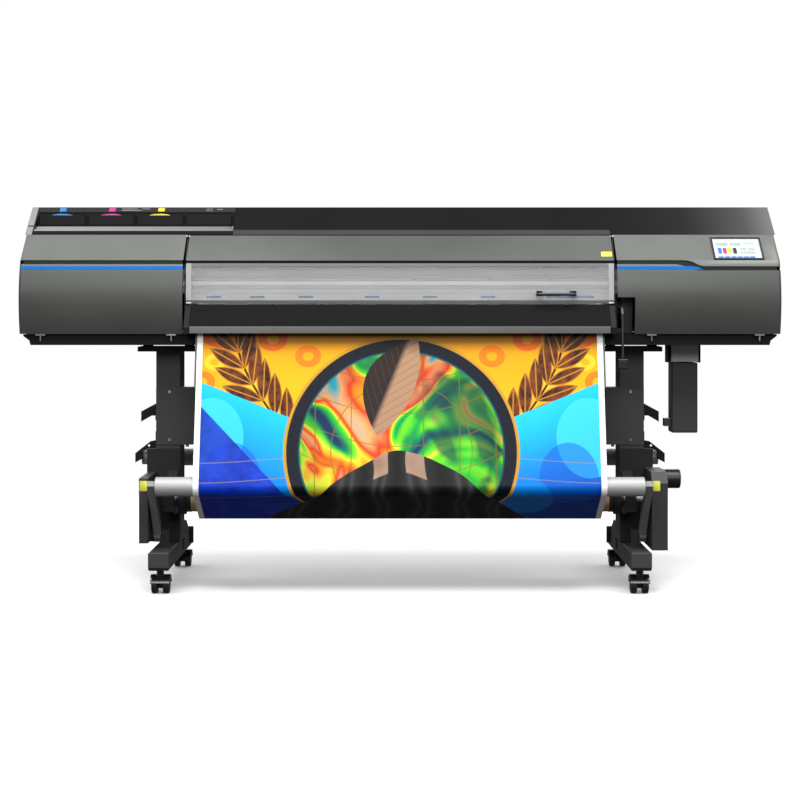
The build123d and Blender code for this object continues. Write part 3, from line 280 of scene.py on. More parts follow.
# painted shadow: a near-black stripe where the groove above the lid falls in shade, with specular, coat and metal taken
# out so it stays dark
painted_gap_shadow = m.math("MULTIPLY", lid, m.span(pz, 1.1105, 1.1120))
over(m, painted_gap_shadow, (0.006, 0.006, 0.006))
m.put("Specular IOR Level", m.span(painted_gap_shadow, 0.0, 1.0, 0.5, 0.0))
m.put("Coat Weight", m.span(painted_gap_shadow, 0.0, 1.0, 0.06, 0.0))
m.put("Metallic", m.span(painted_gap_shadow, 0.0, 1.0, 0.45, 0.0))
# painted shade: the bottom strip of the lid darkens towards its lower edge
over(m, m.math("MULTIPLY", lid, m.span(pz, 0.9868, 0.9862)), m.ramp(m.span(pz, 0.974, 0.9865), [(0.0, (0.050, 0.050, 0.050)), (0.5, (0.065, 0.065, 0.065)), (1.0, (0.11, 0.11, 0.11))]))
cheek = m.math("MULTIPLY", m.span(px, -1.2705, -1.2712), m.span(pz, 1.2120, 1.2124))
over(m, cheek, (0.24, 0.24, 0.24))
over(m, m.math("MULTIPLY", cheek, m.span(px, -1.2765, -1.2755)), (0.006, 0.006, 0.006))

m = MK["rail_alu"]
px, py, pz = m.xyz()
# painted highlight: a near-white band along the rail where it catches the light; two thin dark lines above it
over(m, between(m, pz, 1.0385, 1.0515, 0.002), (0.92, 0.92, 0.92))
over(m, between(m, pz, 1.0600, 1.0610), (0.16, 0.16, 0.16))
over(m, between(m, pz, 1.0715, 1.0725), (0.16, 0.16, 0.16))

m = MK["top_black"]
px, py, pz = m.xyz()
# painted reflection: the black top lightens towards its right end
over(m, m.span(px, 0.62, 1.30), m.ramp(m.span(px, 0.62, 1.30), [(0.0, (0.010, 0.010, 0.010)), (0.55, (0.020, 0.020, 0.020)), (0.85, (0.055, 0.055, 0.055)), (1.0, (0.11, 0.11, 0.11))]))
over(m, m.math("MULTIPLY", m.span(pz, 1.2302, 1.2294), m.span(m.math("ABSOLUTE", px), 0.728, 0.727)), (0.040, 0.038, 0.037))

m = MK["bay_grey"]
px, py, pz = m.xyz()
over(m, between(m, pz, 1.2265, 1.2440), m.ramp(m.span(px, -1.28, -0.58), [(0.0, (0.20, 0.20, 0.20)), (1.0, (0.13, 0.13, 0.13))]))
over(m, m.span(pz, 1.2960, 1.2965), (0.022, 0.022, 0.022))


def glass(slot, col, alpha_like=0.9):
    m = Mat(slot)
    n = m.noise(6.0, 2.0)
    m.put("Base Color", m.mix(m.span(n, 0.3, 0.7), tone(col, 0.97), tone(col, 1.0)))
    m.put("Transmission Weight", 0.86)
    m.put("IOR", 1.12)
    m.put("Specular IOR Level", 0.3)
    m.put("Roughness", m.span(m.noise(9.0, 3.0), 0.3, 0.7, 0.01, 0.04))
    return m.mat


MATS["window_glass"] = glass("window_glass", (0.86, 0.87, 0.87))

SLOT_OF = {s["node"]: s["material_slot"] for s in frame["record"]["subparts"]}
for name, ob in NODES.items():
    slot = SLOT_OF.get(name)
    mat = MATS.get(slot)
    if mat is None:
        continue
    if not ob.material_slots:
        ob.data.materials.append(mat)
    for s in ob.material_slots:
        s.material = mat


# ------------------------------------------------------------------ softened edges on the CAD shells
def soften(node, width=0.0010, segs=2, angle=32):
    ob = NODES[node]
    w = ob.modifiers.new("weld", "WELD")
    w.merge_threshold = 0.00002
    b = ob.modifiers.new("bevel", "BEVEL")
    b.width = width
    b.segments = segs
    b.limit_method = "ANGLE"
    b.angle_limit = math.radians(angle)
    b.use_clamp_overlap = True
    b.harden_normals = False
    n = ob.modifiers.new("wn", "WEIGHTED_NORMAL")
    n.keep_sharp = False


# ------------------------------------------------------------------ mesh helpers
def new_obj(name, bm, mats, body, smooth=True, angle=35):
    me = bpy.data.meshes.new(name)
    bm.normal_update()
    bm.to_mesh(me)
    bm.free()
    for mt in (mats if isinstance(mats, (list, tuple)) else [mats]):
        me.materials.append(mt)
    ob = bpy.data.objects.new(name, me)
    scene.collection.objects.link(ob)
    if smooth:
        for p in me.polygons:
            p.use_smooth = True
        try:
            me.set_sharp_from_angle(angle=math.radians(angle))
        except Exception:
            pass
    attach(ob, body)
    return ob


# ------------------------------------------------------------------ the film's path, in YZ metres (as in the CAD)
W = 0.6855
FC, RC, AR = (-0.110, 0.853), (0.200, 0.853), 0.120
DC, DR = (-0.340, 0.366), 0.0332
TC, TR = (-0.160, 0.307), 0.069
SC, SR = (0.266, 0.411), 0.0758


def arc_pts(c, r, a0, a1, n):
    return [(c[0] - r * math.sin(a0 + (a1 - a0) * i / n), c[1] + r * math.cos(a0 + (a1 - a0) * i / n)) for i in range(n + 1)]


d1 = math.hypot(DC[0] - FC[0], DC[1] - FC[1])
LEAN = math.atan2(-(DC[0] - FC[0]), -(DC[1] - FC[1])) + math.asin((DR - AR) / d1)
A_T = math.pi / 2 - LEAN
d2 = math.hypot(TC[0] - DC[0], TC[1] - DC[1])
FALL = math.atan2(TC[1] - DC[1], TC[0] - DC[0]) - math.asin((TR - DR) / d2)
A_B = math.pi + FALL
SUP_Z = 0.421
rear_t = (RC[0] + AR, RC[1])
sup_t = (0.266 + 0.075 + 0.0008, SUP_Z)
ra = math.atan2(sup_t[0] - rear_t[0], rear_t[1] - sup_t[1])

path = []


def add(pts):
    for p in pts:
        if not path or math.hypot(path[-1][0] - p[0], path[-1][1] - p[1]) > 1e-5:
            path.append(p)


def line(a, b, n):
    return [(a[0] + (b[0] - a[0]) * i / n, a[1] + (b[1] - a[1]) * i / n) for i in range(n + 1)]


rear0 = arc_pts(RC, AR, -(math.pi / 2 - ra), 0, 1)[0]
L_r = (rear0[1] - SUP_Z) / math.cos(ra)
sup_end = (rear0[0] + L_r * math.sin(ra), rear0[1] - L_r * math.cos(ra))
wrap0 = arc_pts(SC, SR, -math.radians(150), -math.radians(92), 14)
add(wrap0)
add(line(sup_end, rear0, 24))
add(arc_pts(RC, AR, -(math.pi / 2 - ra), 0, 28))
add(line((RC[0], RC[1] + AR), (FC[0], FC[1] + AR), 12))
add(arc_pts(FC, AR, 0, A_T, 28))
fr0 = arc_pts(FC, AR, A_T, A_T, 1)[0]
d_in = arc_pts(DC, DR, A_T, A_T, 1)[0]
add(line(fr0, d_in, 40))
add(arc_pts(DC, DR, A_T, A_B, 22))
d_out = arc_pts(DC, DR, A_B, A_B, 1)[0]
t_in = arc_pts(TC, TR, A_B, A_B, 1)[0]
add(line(d_out, t_in, 16))
add(arc_pts(TC, TR, A_B, A_B + math.radians(120), 40))
S = [0.0]
for a, b in zip(path, path[1:]):
    S.append(S[-1] + math.hypot(b[0] - a[0], b[1] - a[1]))
# distance at which the film passes under the front lip
S_LIP = next(s for p, s in zip(path, S) if p[0] < -0.15 and p[1] < 0.876)
S_HEAD = next(s for p, s in zip(path, S) if p[0] < -0.125 and p[1] > 0.9)


def artwork(name):
    """Abstract print: warm field, marbled disc in a dark ring, cool wedges, leaf-like strokes. UV in metres: x across, y down the film."""
    m = Mat(name)
    uvx, uvy, _ = m.xyz(m.tc.outputs["UV"])
    x = m.math("SUBTRACT", uvx, W)                      # -W .. W
    t = m.math("SUBTRACT", uvy, S_LIP)                  # 0 at the lip, grows downwards
    vec = m.node("ShaderNodeCombineXYZ", i0=x, i1=t).outputs[0]

    def n(scale, detail=2.0, rough=0.5, dist=0.0, off=(0, 0, 0)):
        mp = m.t.nodes.new("ShaderNodeMapping")
        m.t.links.new(vec, mp.inputs["Vector"])
        mp.inputs["Location"].default_value = off
        return m.noise(scale, detail, rough, vec=mp.outputs["Vector"], distort=dist)

    ax = m.math("ABSOLUTE", x)

    def dist(cx, cy, sy=1.0, xx=None):
        dx = m.math("SUBTRACT", xx or x, cx)
        dy = m.math("MULTIPLY", m.math("SUBTRACT", t, cy), sy)
        return m.math("SQRT", m.math("ADD", m.math("MULTIPLY", dx, dx), m.math("MULTIPLY", dy, dy)))

    # warm field with rounded shapes in deeper and lighter orange
    warm = m.ramp(m.math("ADD", m.math("MULTIPLY", t, 1.9), m.math("MULTIPLY", n(2.2, 1.0), 0.25)),
                  [(0.0, (0.74, 0.26, 0.002)), (0.25, (0.86, 0.37, 0.002)), (0.55, (0.90, 0.47, 0.004)), (1.0, (0.93, 0.53, 0.01))])
    col = warm
    for cx, cy, r, c, k in ((0.600, -0.02, 0.085, (0.85, 0.115, 0.004), 0.95), (0.625, 0.10, 0.035, (0.98, 0.62, 0.03), 0.8), (0.43, 0.02, 0.05, (0.80, 0.10, 0.004), 0.8),
                            (0.665, 0.17, 0.045, (0.88, 0.19, 0.004), 0.9), (0.50, 0.16, 0.040, (0.97, 0.58, 0.03), 0.7), (0.31, 0.08, 0.045, (0.84, 0.17, 0.004), 0.8)):
        d0 = dist(cx, cy, 1.15, ax)
        ringy = m.math("MULTIPLY", m.span(d0, r, r - 0.002), m.span(d0, r * 0.38, r * 0.38 + 0.002))
        col = m.mix(m.math("MULTIPLY", ringy, k), col, c)
    # pairs of leaves along a bending stem, mirrored
    leaf_d, rib_d = None, None
    stem = [(0.375 + 0.215 * math.sin(1.35 * k / 6.0) - 0.03 * (k / 6.0), 0.345 - 0.335 * (k / 6.0)) for k in range(7)]
    for k in range(0, 7):
        p, q = stem[max(0, k - 1)], stem[min(6, k + 1)]
        a0 = math.atan2(q[1] - p[1], q[0] - p[0])
        for sd in (-1, 1):
            a = a0 + sd * 0.62
            ln, wd = 0.083 - 0.003 * k, 0.0250
            cx, cy = stem[k][0] + math.cos(a) * ln * 0.95, stem[k][1] + math.sin(a) * ln * 0.95
            mp = m.t.nodes.new("ShaderNodeMapping")
            mp.vector_type = "TEXTURE"
            m.t.links.new(m.node("ShaderNodeCombineXYZ", i0=ax, i1=t).outputs[0] if leaf_d is None else AXT, mp.inputs["Vector"])
            if leaf_d is None:
                AXT = mp.inputs["Vector"].links[0].from_socket
            mp.inputs["Location"].default_value = (cx, cy, 0)
            mp.inputs["Rotation"].default_value = (0, 0, a)
            mp.inputs["Scale"].default_value = (ln, wd, 1)
            lx, ly, _ = m.xyz(mp.outputs["Vector"])
            # pointed leaf: |ly| + lx^2 < 1
            d0 = m.math("ADD", m.math("ABSOLUTE", ly), m.math("MULTIPLY", lx, lx))
            r0 = m.math("ADD", m.math("ABSOLUTE", ly), m.span(m.math("ABSOLUTE", lx), 0.86, 0.98, 0.0, 9.0))
            leaf_d = d0 if leaf_d is None else m.math("MINIMUM", leaf_d, d0)
            rib_d = r0 if rib_d is None else m.math("MINIMUM", rib_d, r0)
    sx_ = m.math("ABSOLUTE", m.math("SUBTRACT", ax, m.math("SUBTRACT", m.math("ADD", 0.375, m.math("MULTIPLY", m.math("SINE", m.math("MULTIPLY", m.math("SUBTRACT", 0.345, t), 4.03)), 0.215)),
                                                     m.math("MULTIPLY", m.math("SUBTRACT", 0.345, t), 0.09))))
    stem_m = m.math("MULTIPLY", m.span(sx_, 0.0048, 0.0036), m.math("MULTIPLY", m.span(t, 0.42, 0.40), m.span(t, 0.0, 0.01)))
    lit = m.math("MULTIPLY", m.span(leaf_d, 1.0, 0.96), m.span(t, -0.01, 0.0))
    dk = m.mix(m.span(n(26, 3), 0.35, 0.65), (0.030, 0.006, 0.002), (0.21, 0.050, 0.006))
    col = m.mix(stem_m, col, (0.05, 0.012, 0.003))
    col = m.mix(lit, col, (0.52, 0.20, 0.012))
    col = m.mix(m.math("MULTIPLY", m.span(leaf_d, 0.86, 0.80), lit), col, dk)
    col = m.mix(m.math("MULTIPLY", m.math("MULTIPLY", m.span(rib_d, 0.10, 0.07), lit), 0.8), col, (0.62, 0.27, 0.02))
    # cool wedges at the lower corners, in layers
    edge = m.math("SUBTRACT", t, m.math("SUBTRACT", 0.435, m.math("MULTIPLY", ax, 0.39)))
    edge = m.math("ADD", edge, m.math("MULTIPLY", m.math("SUBTRACT", n(1.5, 1.0, 0.5, 0, (5, 5, 0)), 0.5), 0.04))
    wedge = m.span(edge, -0.001, 0.001)
    cool = m.ramp(m.math("ADD", m.math("MULTIPLY", edge, 2.3), m.math("MULTIPLY", n(1.8, 1.0, 0.5, 0.3, (1, 9, 0)), 0.22)),
                  [(0.0, (0.02, 0.62, 0.93)), (0.22, (0.004, 0.50, 0.93)), (0.45, (0.002, 0.33, 0.86)), (0.72, (0.002, 0.16, 0.62)), (1.0, (0.001, 0.05, 0.36))])
    for cx, cy, r, c, k in ((0.63, 0.36, 0.11, (0.05, 0.66, 0.95), 0.75), (0.56, 0.50, 0.10, (0.001, 0.10, 0.62), 0.6), (0.42, 0.60, 0.09, (0.001, 0.22, 0.74), 0.7)):
        d0 = dist(cx, cy, 0.8, ax)
        cool = m.mix(m.math("MULTIPLY", m.span(d0, r, r - 0.002), k), cool, c)
    deep_e = m.math("ADD", x, m.math("MULTIPLY", t, -0.95))
    deep = m.mix(m.span(n(14, 4, 0.7), 0.3, 0.7), (0.001, 0.010, 0.30), (0.006, 0.05, 0.62))
    cool = m.mix(m.math("MULTIPLY", m.span(deep_e, -0.905, -0.908), 0.95), cool, deep)
    col = m.mix(wedge, col, cool)
    # thin gold rules over the cool ground
    wig = m.math("ADD", t, m.math("MULTIPLY", m.math("SINE", m.math("MULTIPLY", ax, 7.0)), 0.012))
    fr = m.math("ABSOLUTE", m.math("SUBTRACT", m.math("FRACT", m.math("MULTIPLY", wig, 15.0)), 0.5))
    rule = m.math("MULTIPLY", m.math("MULTIPLY", m.span(fr, 0.030, 0.018), wedge), m.math("MULTIPLY", m.span(t, 0.40, 0.42), m.span(t, 0.64, 0.62)))
    col = m.mix(m.math("MULTIPLY", rule, 0.55), col, (0.30, 0.26, 0.09))
    # disc with a marbled face in a dark ring
    r = dist(0.005, 0.405)
    q1 = n(2.1, 1.5, 0.45, 0.0, (2.2, 7.7, 0))
    q2 = n(2.1, 1.5, 0.45, 0.0, (6.1, 1.3, 0))
    warp = m.node("ShaderNodeCombineXYZ", i0=m.math("ADD", m.math("MULTIPLY", x, 1.0), m.math("MULTIPLY", q1, 1.5)),
                  i1=m.math("ADD", m.math("MULTIPLY", t, 1.0), m.math("MULTIPLY", q2, 1.5))).outputs[0]
    mar = m.noise(3.1, 2.2, 0.52, vec=warp, distort=0.9)
    swirl = m.ramp(m.span(mar, 0.28, 0.74), [(0.0, (0.002, 0.03, 0.10)), (0.14, (0.004, 0.20, 0.10)), (0.27, (0.015, 0.52, 0.03)), (0.40, (0.20, 0.80, 0.02)), (0.48, (0.80, 0.80, 0.04)),
                                             (0.55, (0.95, 0.42, 0.01)), (0.66, (0.80, 0.03, 0.004)), (0.78, (0.90, 0.40, 0.14)), (0.88, (0.02, 0.42, 0.50)), (1.0, (0.002, 0.06, 0.16))])
    side = m.span(x, -0.05, 0.14, smooth=True)
    swirl = m.mix(m.math("MULTIPLY", m.span(n(5.0, 2.0, 0.5, 1.0, (3, 3, 0)), 0.50, 0.60), m.math("MULTIPLY", side, 0.75)), swirl, (0.003, 0.020, 0.05))
    shade = m.span(r, 0.20, 0.345, 1.0, 0.62, smooth=True)
    swirl = m.mix(1.0, swirl, m.node("ShaderNodeCombineXYZ", i0=shade, i1=shade, i2=shade).outputs[0], "MULTIPLY")
    disc = m.span(r, 0.339, 0.337)
    col = m.mix(m.math("MULTIPLY", m.span(r, 0.395, 0.392), m.span(r, 0.380, 0.382)), col, (0.60, 0.30, 0.02))
    col = m.mix(m.span(r, 0.3845, 0.3825), col, m.mix(m.span(r, 0.342, 0.345), (0.010, 0.10, 0.12), (0.003, 0.005, 0.014)))
    col = m.mix(disc, col, swirl)
    # leading over the disc
    gx = m.math("ABSOLUTE", m.math("SUBTRACT", m.math("FRACT", m.math("MULTIPLY", m.math("ADD", x, 2.03), 8.3)), 0.5))
    gl = m.math("MULTIPLY", m.span(gx, 0.020, 0.012), disc)
    gy = m.math("ABSOLUTE", m.math("SUBTRACT", m.math("FRACT", m.math("MULTIPLY", m.math("ADD", t, m.math("MULTIPLY", m.math("MULTIPLY", x, x), 0.8)), 9.0)), 0.5))
    gl = m.math("MAXIMUM", gl, m.math("MULTIPLY", m.span(gy, 0.020, 0.012), disc))
    rr = m.math("ABSOLUTE", m.math("SUBTRACT", r, 0.235))
    gl = m.math("MAXIMUM", gl, m.math("MULTIPLY", m.span(rr, 0.0024, 0.0014), disc))
    col = m.mix(m.math("MULTIPLY", gl, 0.70), col, (0.20, 0.13, 0.015))
    # folded dark ribbons rising from the foot, with one pale fold
    hx = m.math("DIVIDE", m.math("SUBTRACT", x, 0.0), 0.30)
    hill = m.math("SUBTRACT", m.math("SUBTRACT", t, 0.395), m.math("MULTIPLY", m.math("POWER", m.math("ABSOLUTE", hx), 1.7), 0.19))
    hill = m.math("ADD", hill, m.math("MULTIPLY", m.math("SUBTRACT", n(3.0, 1.0, 0.5, 0, (8, 2, 0)), 0.5), 0.09))
    fold = m.t.nodes.new("ShaderNodeTexWave")
    fold.wave_type = "BANDS"; fold.bands_direction = "X"; fold.wave_profile = "SIN"
    m.t.links.new(vec, fold.inputs["Vector"])
    fold.inputs["Scale"].default_value = 2.4
    fold.inputs["Distortion"].default_value = 4.5
    fold.inputs["Detail"].default_value = 1.2
    fold.inputs["Detail Scale"].default_value = 1.4
    cloth = m.ramp(fold.outputs["Fac"], [(0.0, (0.006, 0.006, 0.007)), (0.55, (0.018, 0.018, 0.020)), (0.85, (0.050, 0.050, 0.054)), (1.0, (0.016, 0.016, 0.018))])
    pale = m.math("MULTIPLY", m.span(fold.outputs["Fac"], 0.60, 0.64), m.math("MULTIPLY", m.span(hill, 0.075, 0.070), m.span(ax, 0.115, 0.105)))
    cloth = m.mix(m.math("MULTIPLY", pale, 0.85), cloth, m.mix(m.span(n(5, 2), 0.35, 0.65), (0.34, 0.20, 0.13), (0.62, 0.42, 0.30)))
    hm = m.span(hill, -0.001, 0.002)
    col = m.mix(hm, col, cloth)
    # a tall leaf-shaped plume in umber over the middle of the disc
    mp = m.t.nodes.new("ShaderNodeMapping")
    mp.vector_type = "TEXTURE"
    m.t.links.new(vec, mp.inputs["Vector"])
    mp.inputs["Location"].default_value = (-0.035, 0.175, 0)
    mp.inputs["Rotation"].default_value = (0, 0, 1.95)
    mp.inputs["Scale"].default_value = (0.185, 0.085, 1)
    lx, ly, _ = m.xyz(mp.outputs["Vector"])
    pd = m.math("ADD", m.math("ABSOLUTE", m.math("ADD", ly, m.math("MULTIPLY", m.math("MULTIPLY", lx, lx), 0.35))), m.math("MULTIPLY", lx, lx))
    plume = m.math("MULTIPLY", m.span(pd, 1.0, 0.985), m.span(t, -0.005, 0.0))
    vein = m.math("ABSOLUTE", m.math("SUBTRACT", m.math("FRACT", m.math("MULTIPLY", m.math("ADD", lx, m.math("MULTIPLY", m.math("ABSOLUTE", ly), 0.6)), 5.0)), 0.5))
    pcol = m.mix(m.span(ly, -0.15, 0.05), (0.42, 0.24, 0.14), (0.020, 0.012, 0.010))
    pcol = m.mix(m.math("MULTIPLY", m.span(vein, 0.06, 0.03), 0.5), pcol, (0.10, 0.055, 0.03))
    col = m.mix(plume, col, pcol)
    # the head of the print sits in the shade of the lip, and the film darkens as it turns under
    sh = m.ramp(m.span(t, -0.03, 0.085, smooth=True), [(0.0, (0.20, 0.20, 0.20)), (0.35, (0.30, 0.30, 0.30)), (1.0, (0.86, 0.86, 0.86))])
    col = m.mix(1.0, col, sh, "MULTIPLY")
    # margins stay bare film
    inside = m.math("MULTIPLY", m.span(ax, W - 0.0190, W - 0.0194), m.span(m.math("SUBTRACT", uvy, S_HEAD), 0.0, 0.0004))
    bare = m.mix(m.span(n(4, 2), 0.3, 0.7), (0.80, 0.80, 0.79), (0.86, 0.86, 0.85))
    col = m.mix(inside, bare, col)
    m.put("Base Color", col)
    m.put("Roughness", m.span(n(60, 3), 0.3, 0.7, 0.38, 0.48))
    m.put("Coat Weight", 0.02)
    m.put("Coat Roughness", 0.2)
    m.put("Specular IOR Level", 0.12)
    m.put("Normal", m.bump(m.noise(1100, 2), 0.03, 0.0001, prev=m.bump(m.noise(2.2, 1.0), 0.10, 0.004)))
    return m.mat


PRINT = artwork("printed_face")
BARE = MATS["film_back"]

bm = bmesh.new()
uvl = bm.loops.layers.uv.new("UVMap")
NX = 48
rows = []
for k in range(len(path)):
    a = path[max(0, k - 1)]
    b = path[min(len(path) - 1, k + 1)]
    L = math.hypot(b[0] - a[0], b[1] - a[1])
    ny, nz = (b[1] - a[1]) / L, -(b[0] - a[0]) / L      # towards the outer, printed side
    row = []
    for i in range(NX + 1):
        x = -W + 2 * W * i / NX
        # the film has a thickness: its two faces lie 0.3 mm either side of the path
        row.append((bm.verts.new((x, path[k][0] + ny * 0.0003, path[k][1] + nz * 0.0003)),
                    bm.verts.new((x, path[k][0] - ny * 0.0003, path[k][1] - nz * 0.0003)), S[k], x + W))
    rows.append(row)


def quad(vs, uvs, mi):
    f = bm.faces.new(vs)
    f.material_index = mi
    for lp, uv in zip(f.loops, uvs):
        lp[uvl].uv = uv


for r0, r1 in zip(rows, rows[1:]):
    for i in range(NX):
        a, b, c, d = r0[i], r0[i + 1], r1[i + 1], r1[i]
        uv = [(q[3], q[2]) for q in (a, b, c, d)]
        quad([a[0], b[0], c[0], d[0]], uv, 0)
        quad([d[1], c[1], b[1], a[1]], uv[::-1], 1)
    for i, flip in ((0, False), (NX, True)):
        a, d = r0[i], r1[i]
        vs = [a[0], d[0], d[1], a[1]]
        quad(vs[::-1] if flip else vs, [(a[3], a[2])] * 4, 1)
for r, flip in ((rows[0], True), (rows[-1], False)):
    for i in range(NX):
        a, b = r[i], r[i + 1]
        vs = [a[0], b[0], b[1], a[1]]
        quad(vs if flip else vs[::-1], [(a[3], a[2])] * 4, 1)
film = new_obj("printed_film", bm, [PRINT, BARE], "machine")
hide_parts("media_web")

for node in ("left_cover", "right_cover", "front_cover", "rear_cover", "ink_bay", "chassis", "stand_frame", "cross_beam", "web_brackets",
             "takeup_cases", "front_apron_lip", "front_apron_panel", "dancer_arms", "panel_bezel", "bottle_bracket", "loading_lever",
             "cover_handle", "tool_carriage"):
    soften(node)

# ------------------------------------------------------------------ small pieces laid on the shells
from mathutils.bvhtree import BVHTree
TREES = {}


def tree(node):
    if node not in TREES:
        me = NODES[node].data
        TREES[node] = BVHTree.FromPolygons([v.co.copy() for v in me.vertices], [tuple(p.vertices) for p in me.polygons])
    return TREES[node]


def plain(name, col, rough=0.35, metal=0.0):
    return surface(name, col, rough, metal=metal, grain=1500, bump=0.04, var=0.03).mat


def patch(bm, node, x0, x1, z0, z1, thick=0.0007, shape="rect", sink=0.0004):
    """A thin bevelled piece on the front of a node, given by its extent seen from the front."""
    hit, nrm, _, _ = tree(node).ray_cast(Vector(((x0 + x1) / 2, -2.0, (z0 + z1) / 2)), Vector((0, 1, 0)))
    if hit is None:
        return
    if nrm.y > 0:
        nrm = -nrm
    u = Vector((1, 0, 0))
    u = (u - nrm * u.dot(nrm)).normalized()
    v = nrm.cross(u).normalized()
    if v.z < 0:
        v = -v
    w, h = (x1 - x0) / 2, (z1 - z0) / 2 / max(0.2, abs(v.z))
    if shape == "rect":
        r = min(w, h) * 0.22
        ring = []
        for cx, cy, a0 in ((w - r, h - r, 0), (-w + r, h - r, 90), (-w + r, -h + r, 180), (w - r, -h + r, 270)):
            for k in range(4):
                a = math.radians(a0 + 30 * k)
                ring.append((cx + r * math.cos(a), cy + r * math.sin(a)))
    elif shape == "dome":
        ring = [(w * math.cos(math.pi * k / 20), -h + 2 * h * math.sin(math.pi * k / 20)) for k in range(21)]
    else:
        ring = [(w * math.cos(2 * math.pi * k / 24), h * math.sin(2 * math.pi * k / 24)) for k in range(24)]
    base = hit - nrm * sink
    layers = []
    for d, k in ((0.0, 1.0), (thick * 0.75 + sink, 1.0), (thick + sink, 1.0 - 0.12 * min(1.0, thick / min(w, h) * 3))):
        layers.append([bm.verts.new(base + u * (a * k) + v * (b * k) + nrm * d) for a, b in ring])
    n = len(ring)
    for l0, l1 in zip(layers, layers[1:]):
        for k in range(n):
            bm.faces.new((l0[k], l0[(k + 1) % n], l1[(k + 1) % n], l1[k]))
    bm.faces.new(layers[-1])
    bm.faces.new(layers[0][::-1])


def pieces(name, body, mat, items):
    bm = bmesh.new()
    for it in items:
        patch(bm, *it[:5], **(it[5] if len(it) > 5 else {}))
    bmesh.ops.recalc_face_normals(bm, faces=bm.faces)
    return new_obj(name, bm, mat, body)


INK = {"cyan": (0.015, 0.13, 0.38), "magenta": (0.36, 0.012, 0.14), "yellow": (0.50, 0.40, 0.012), "black": (0.035, 0.035, 0.035)}
for (c, rgb), xs, xa in zip(INK.items(), (-1.1875, -1.0140, -0.8410, -0.6710), (-1.186, -1.0145, -0.843, -0.6715)):
    pieces("ink_tag_" + c, "machine", plain("tag_" + c, rgb), [("ink_bay", xs - 0.0115, xs + 0.0115, 1.2985, 1.3115)])
    if c != "black":
        pieces("ink_arc_" + c, "tray_" + c, plain("arc_" + c, tone(rgb, 1.0)), [("ink_tray_" + c, xa - 0.036, xa + 0.036, 1.2832, 1.2892, {"shape": "dome"})])
pieces("ink_legend", "machine", plain("legend_grey", (0.16, 0.16, 0.16)), [("ink_bay", x, x + w, z, z + 0.0022) for x, w, z in
       ((-1.000 + 0.02, 0.055, 1.3062), (-1.000 + 0.02, 0.070, 1.3010), (-0.91, 0.028, 1.3062), (-0.645, 0.020, 1.3050))])
pieces("yellow_tags", "machine", plain("tag_plain_yellow", (0.62, 0.60, 0.06), 0.5),
       [("takeup_cases", -0.873, -0.8475, 0.346, 0.380), ("takeup_cases", 0.8485, 0.872, 0.346, 0.380)])
pieces("lid_tag", "front_lid", plain("lid_tag_yellow", (0.68, 0.62, 0.05), 0.5), [("front_cover", 0.6870, 0.7235, 1.1350, 1.1512)])
pieces("lid_tag_lines", "front_lid", plain("tag_line_grey", (0.055, 0.057, 0.052), 0.5),
       [("front_cover", 0.602, 0.655 - 0.006 * k, 1.1385 + 0.0032 * k, 1.1393 + 0.0032 * k, {"thick": 0.0002}) for k in range(4)])
pieces("lid_clips", "front_lid", plain("clip_bright", (0.72, 0.72, 0.72), 0.25, 0.6),
       [("front_cover", s * 0.718 - 0.0085, s * 0.718 + 0.0085, 0.9745, 0.9790, {"thick": 0.0016}) for s in (-1, 1)])
UI = []
sx0 = 6.012 / 1752


def ui(a, b, c, d):
    return ("touch_screen", (a - 400) * sx0, (c - 400) * sx0, 0.9865 + (300 - d) * sx0, 0.9865 + (300 - b) * sx0, {"thick": 0.0003, "sink": 0.0002})


pieces("screen_cyan", "machine", plain("ui_cyan", (0.008, 0.13, 0.42)), [ui(717.2, 248, 720.9, 253.9)] + [ui(716.4 + 6.25 * k, 256.6, 721.9 + 6.25 * k, 259.0) for k in range(6)])
pieces("screen_magenta", "machine", plain("ui_magenta", (0.42, 0.006, 0.11)), [ui(722.1, 248, 725.7, 253.9)])
pieces("screen_yellow", "machine", plain("ui_yellow", (0.58, 0.37, 0.008)), [ui(727.2, 248, 730.8, 253.9)])
pieces("screen_black", "machine", plain("ui_black", (0.012, 0.012, 0.014)), [ui(732.2, 248, 735.9, 253.9)])
pieces("screen_tiles", "machine", plain("ui_tile", (0.24, 0.32, 0.30)), [ui(716, 242.6, 728, 246.0), ui(730, 242.6, 741, 246.0), ui(743, 242.6, 754.5, 244.0),
                                                                        ui(739, 248, 746, 250.4), ui(747.5, 248, 754, 250.4), ui(739, 251.6, 754, 253.9)])
# rail screws seen through the window, in a row
pieces("rail_screws", "machine", plain("screw_dark", (0.10, 0.10, 0.10), 0.35, 0.6),
       [("guide_rail", x - 0.003, x + 0.003, 1.0535, 1.0595, {"shape": "round", "thick": 0.0012}) for x in (-0.43, 0.048, 0.31, 0.52)])

# ------------------------------------------------------------------ studio
def stage_mat():
    m = Mat("studio_white")
    n = m.noise(0.8, 2.0)
    m.put("Base Color", m.mix(m.span(n, 0.3, 0.7), (0.87, 0.87, 0.87), (0.90, 0.90, 0.90)))
    m.put("Roughness", m.span(n, 0.3, 0.7, 0.80, 0.90))
    m.put("Specular IOR Level", 0.0)
    x, y, _ = m.xyz()
    r = m.math("SQRT", m.math("ADD", m.math("MULTIPLY", x, x), m.math("MULTIPLY", y, y)))
    m.put("Alpha", m.span(r, 3.4, 2.0, smooth=True))
    return m.mat


bm = bmesh.new()
bmesh.ops.create_circle(bm, cap_ends=True, cap_tris=True, segments=96, radius=3.6)
me = bpy.data.meshes.new("studio_floor")
bm.to_mesh(me)
bm.free()
me.materials.append(stage_mat())
sweep = bpy.data.objects.new("studio_floor", me)
scene.collection.objects.link(sweep)
sweep.visible_glossy = False
sweep.visible_diffuse = False
sweep.visible_transmission = True

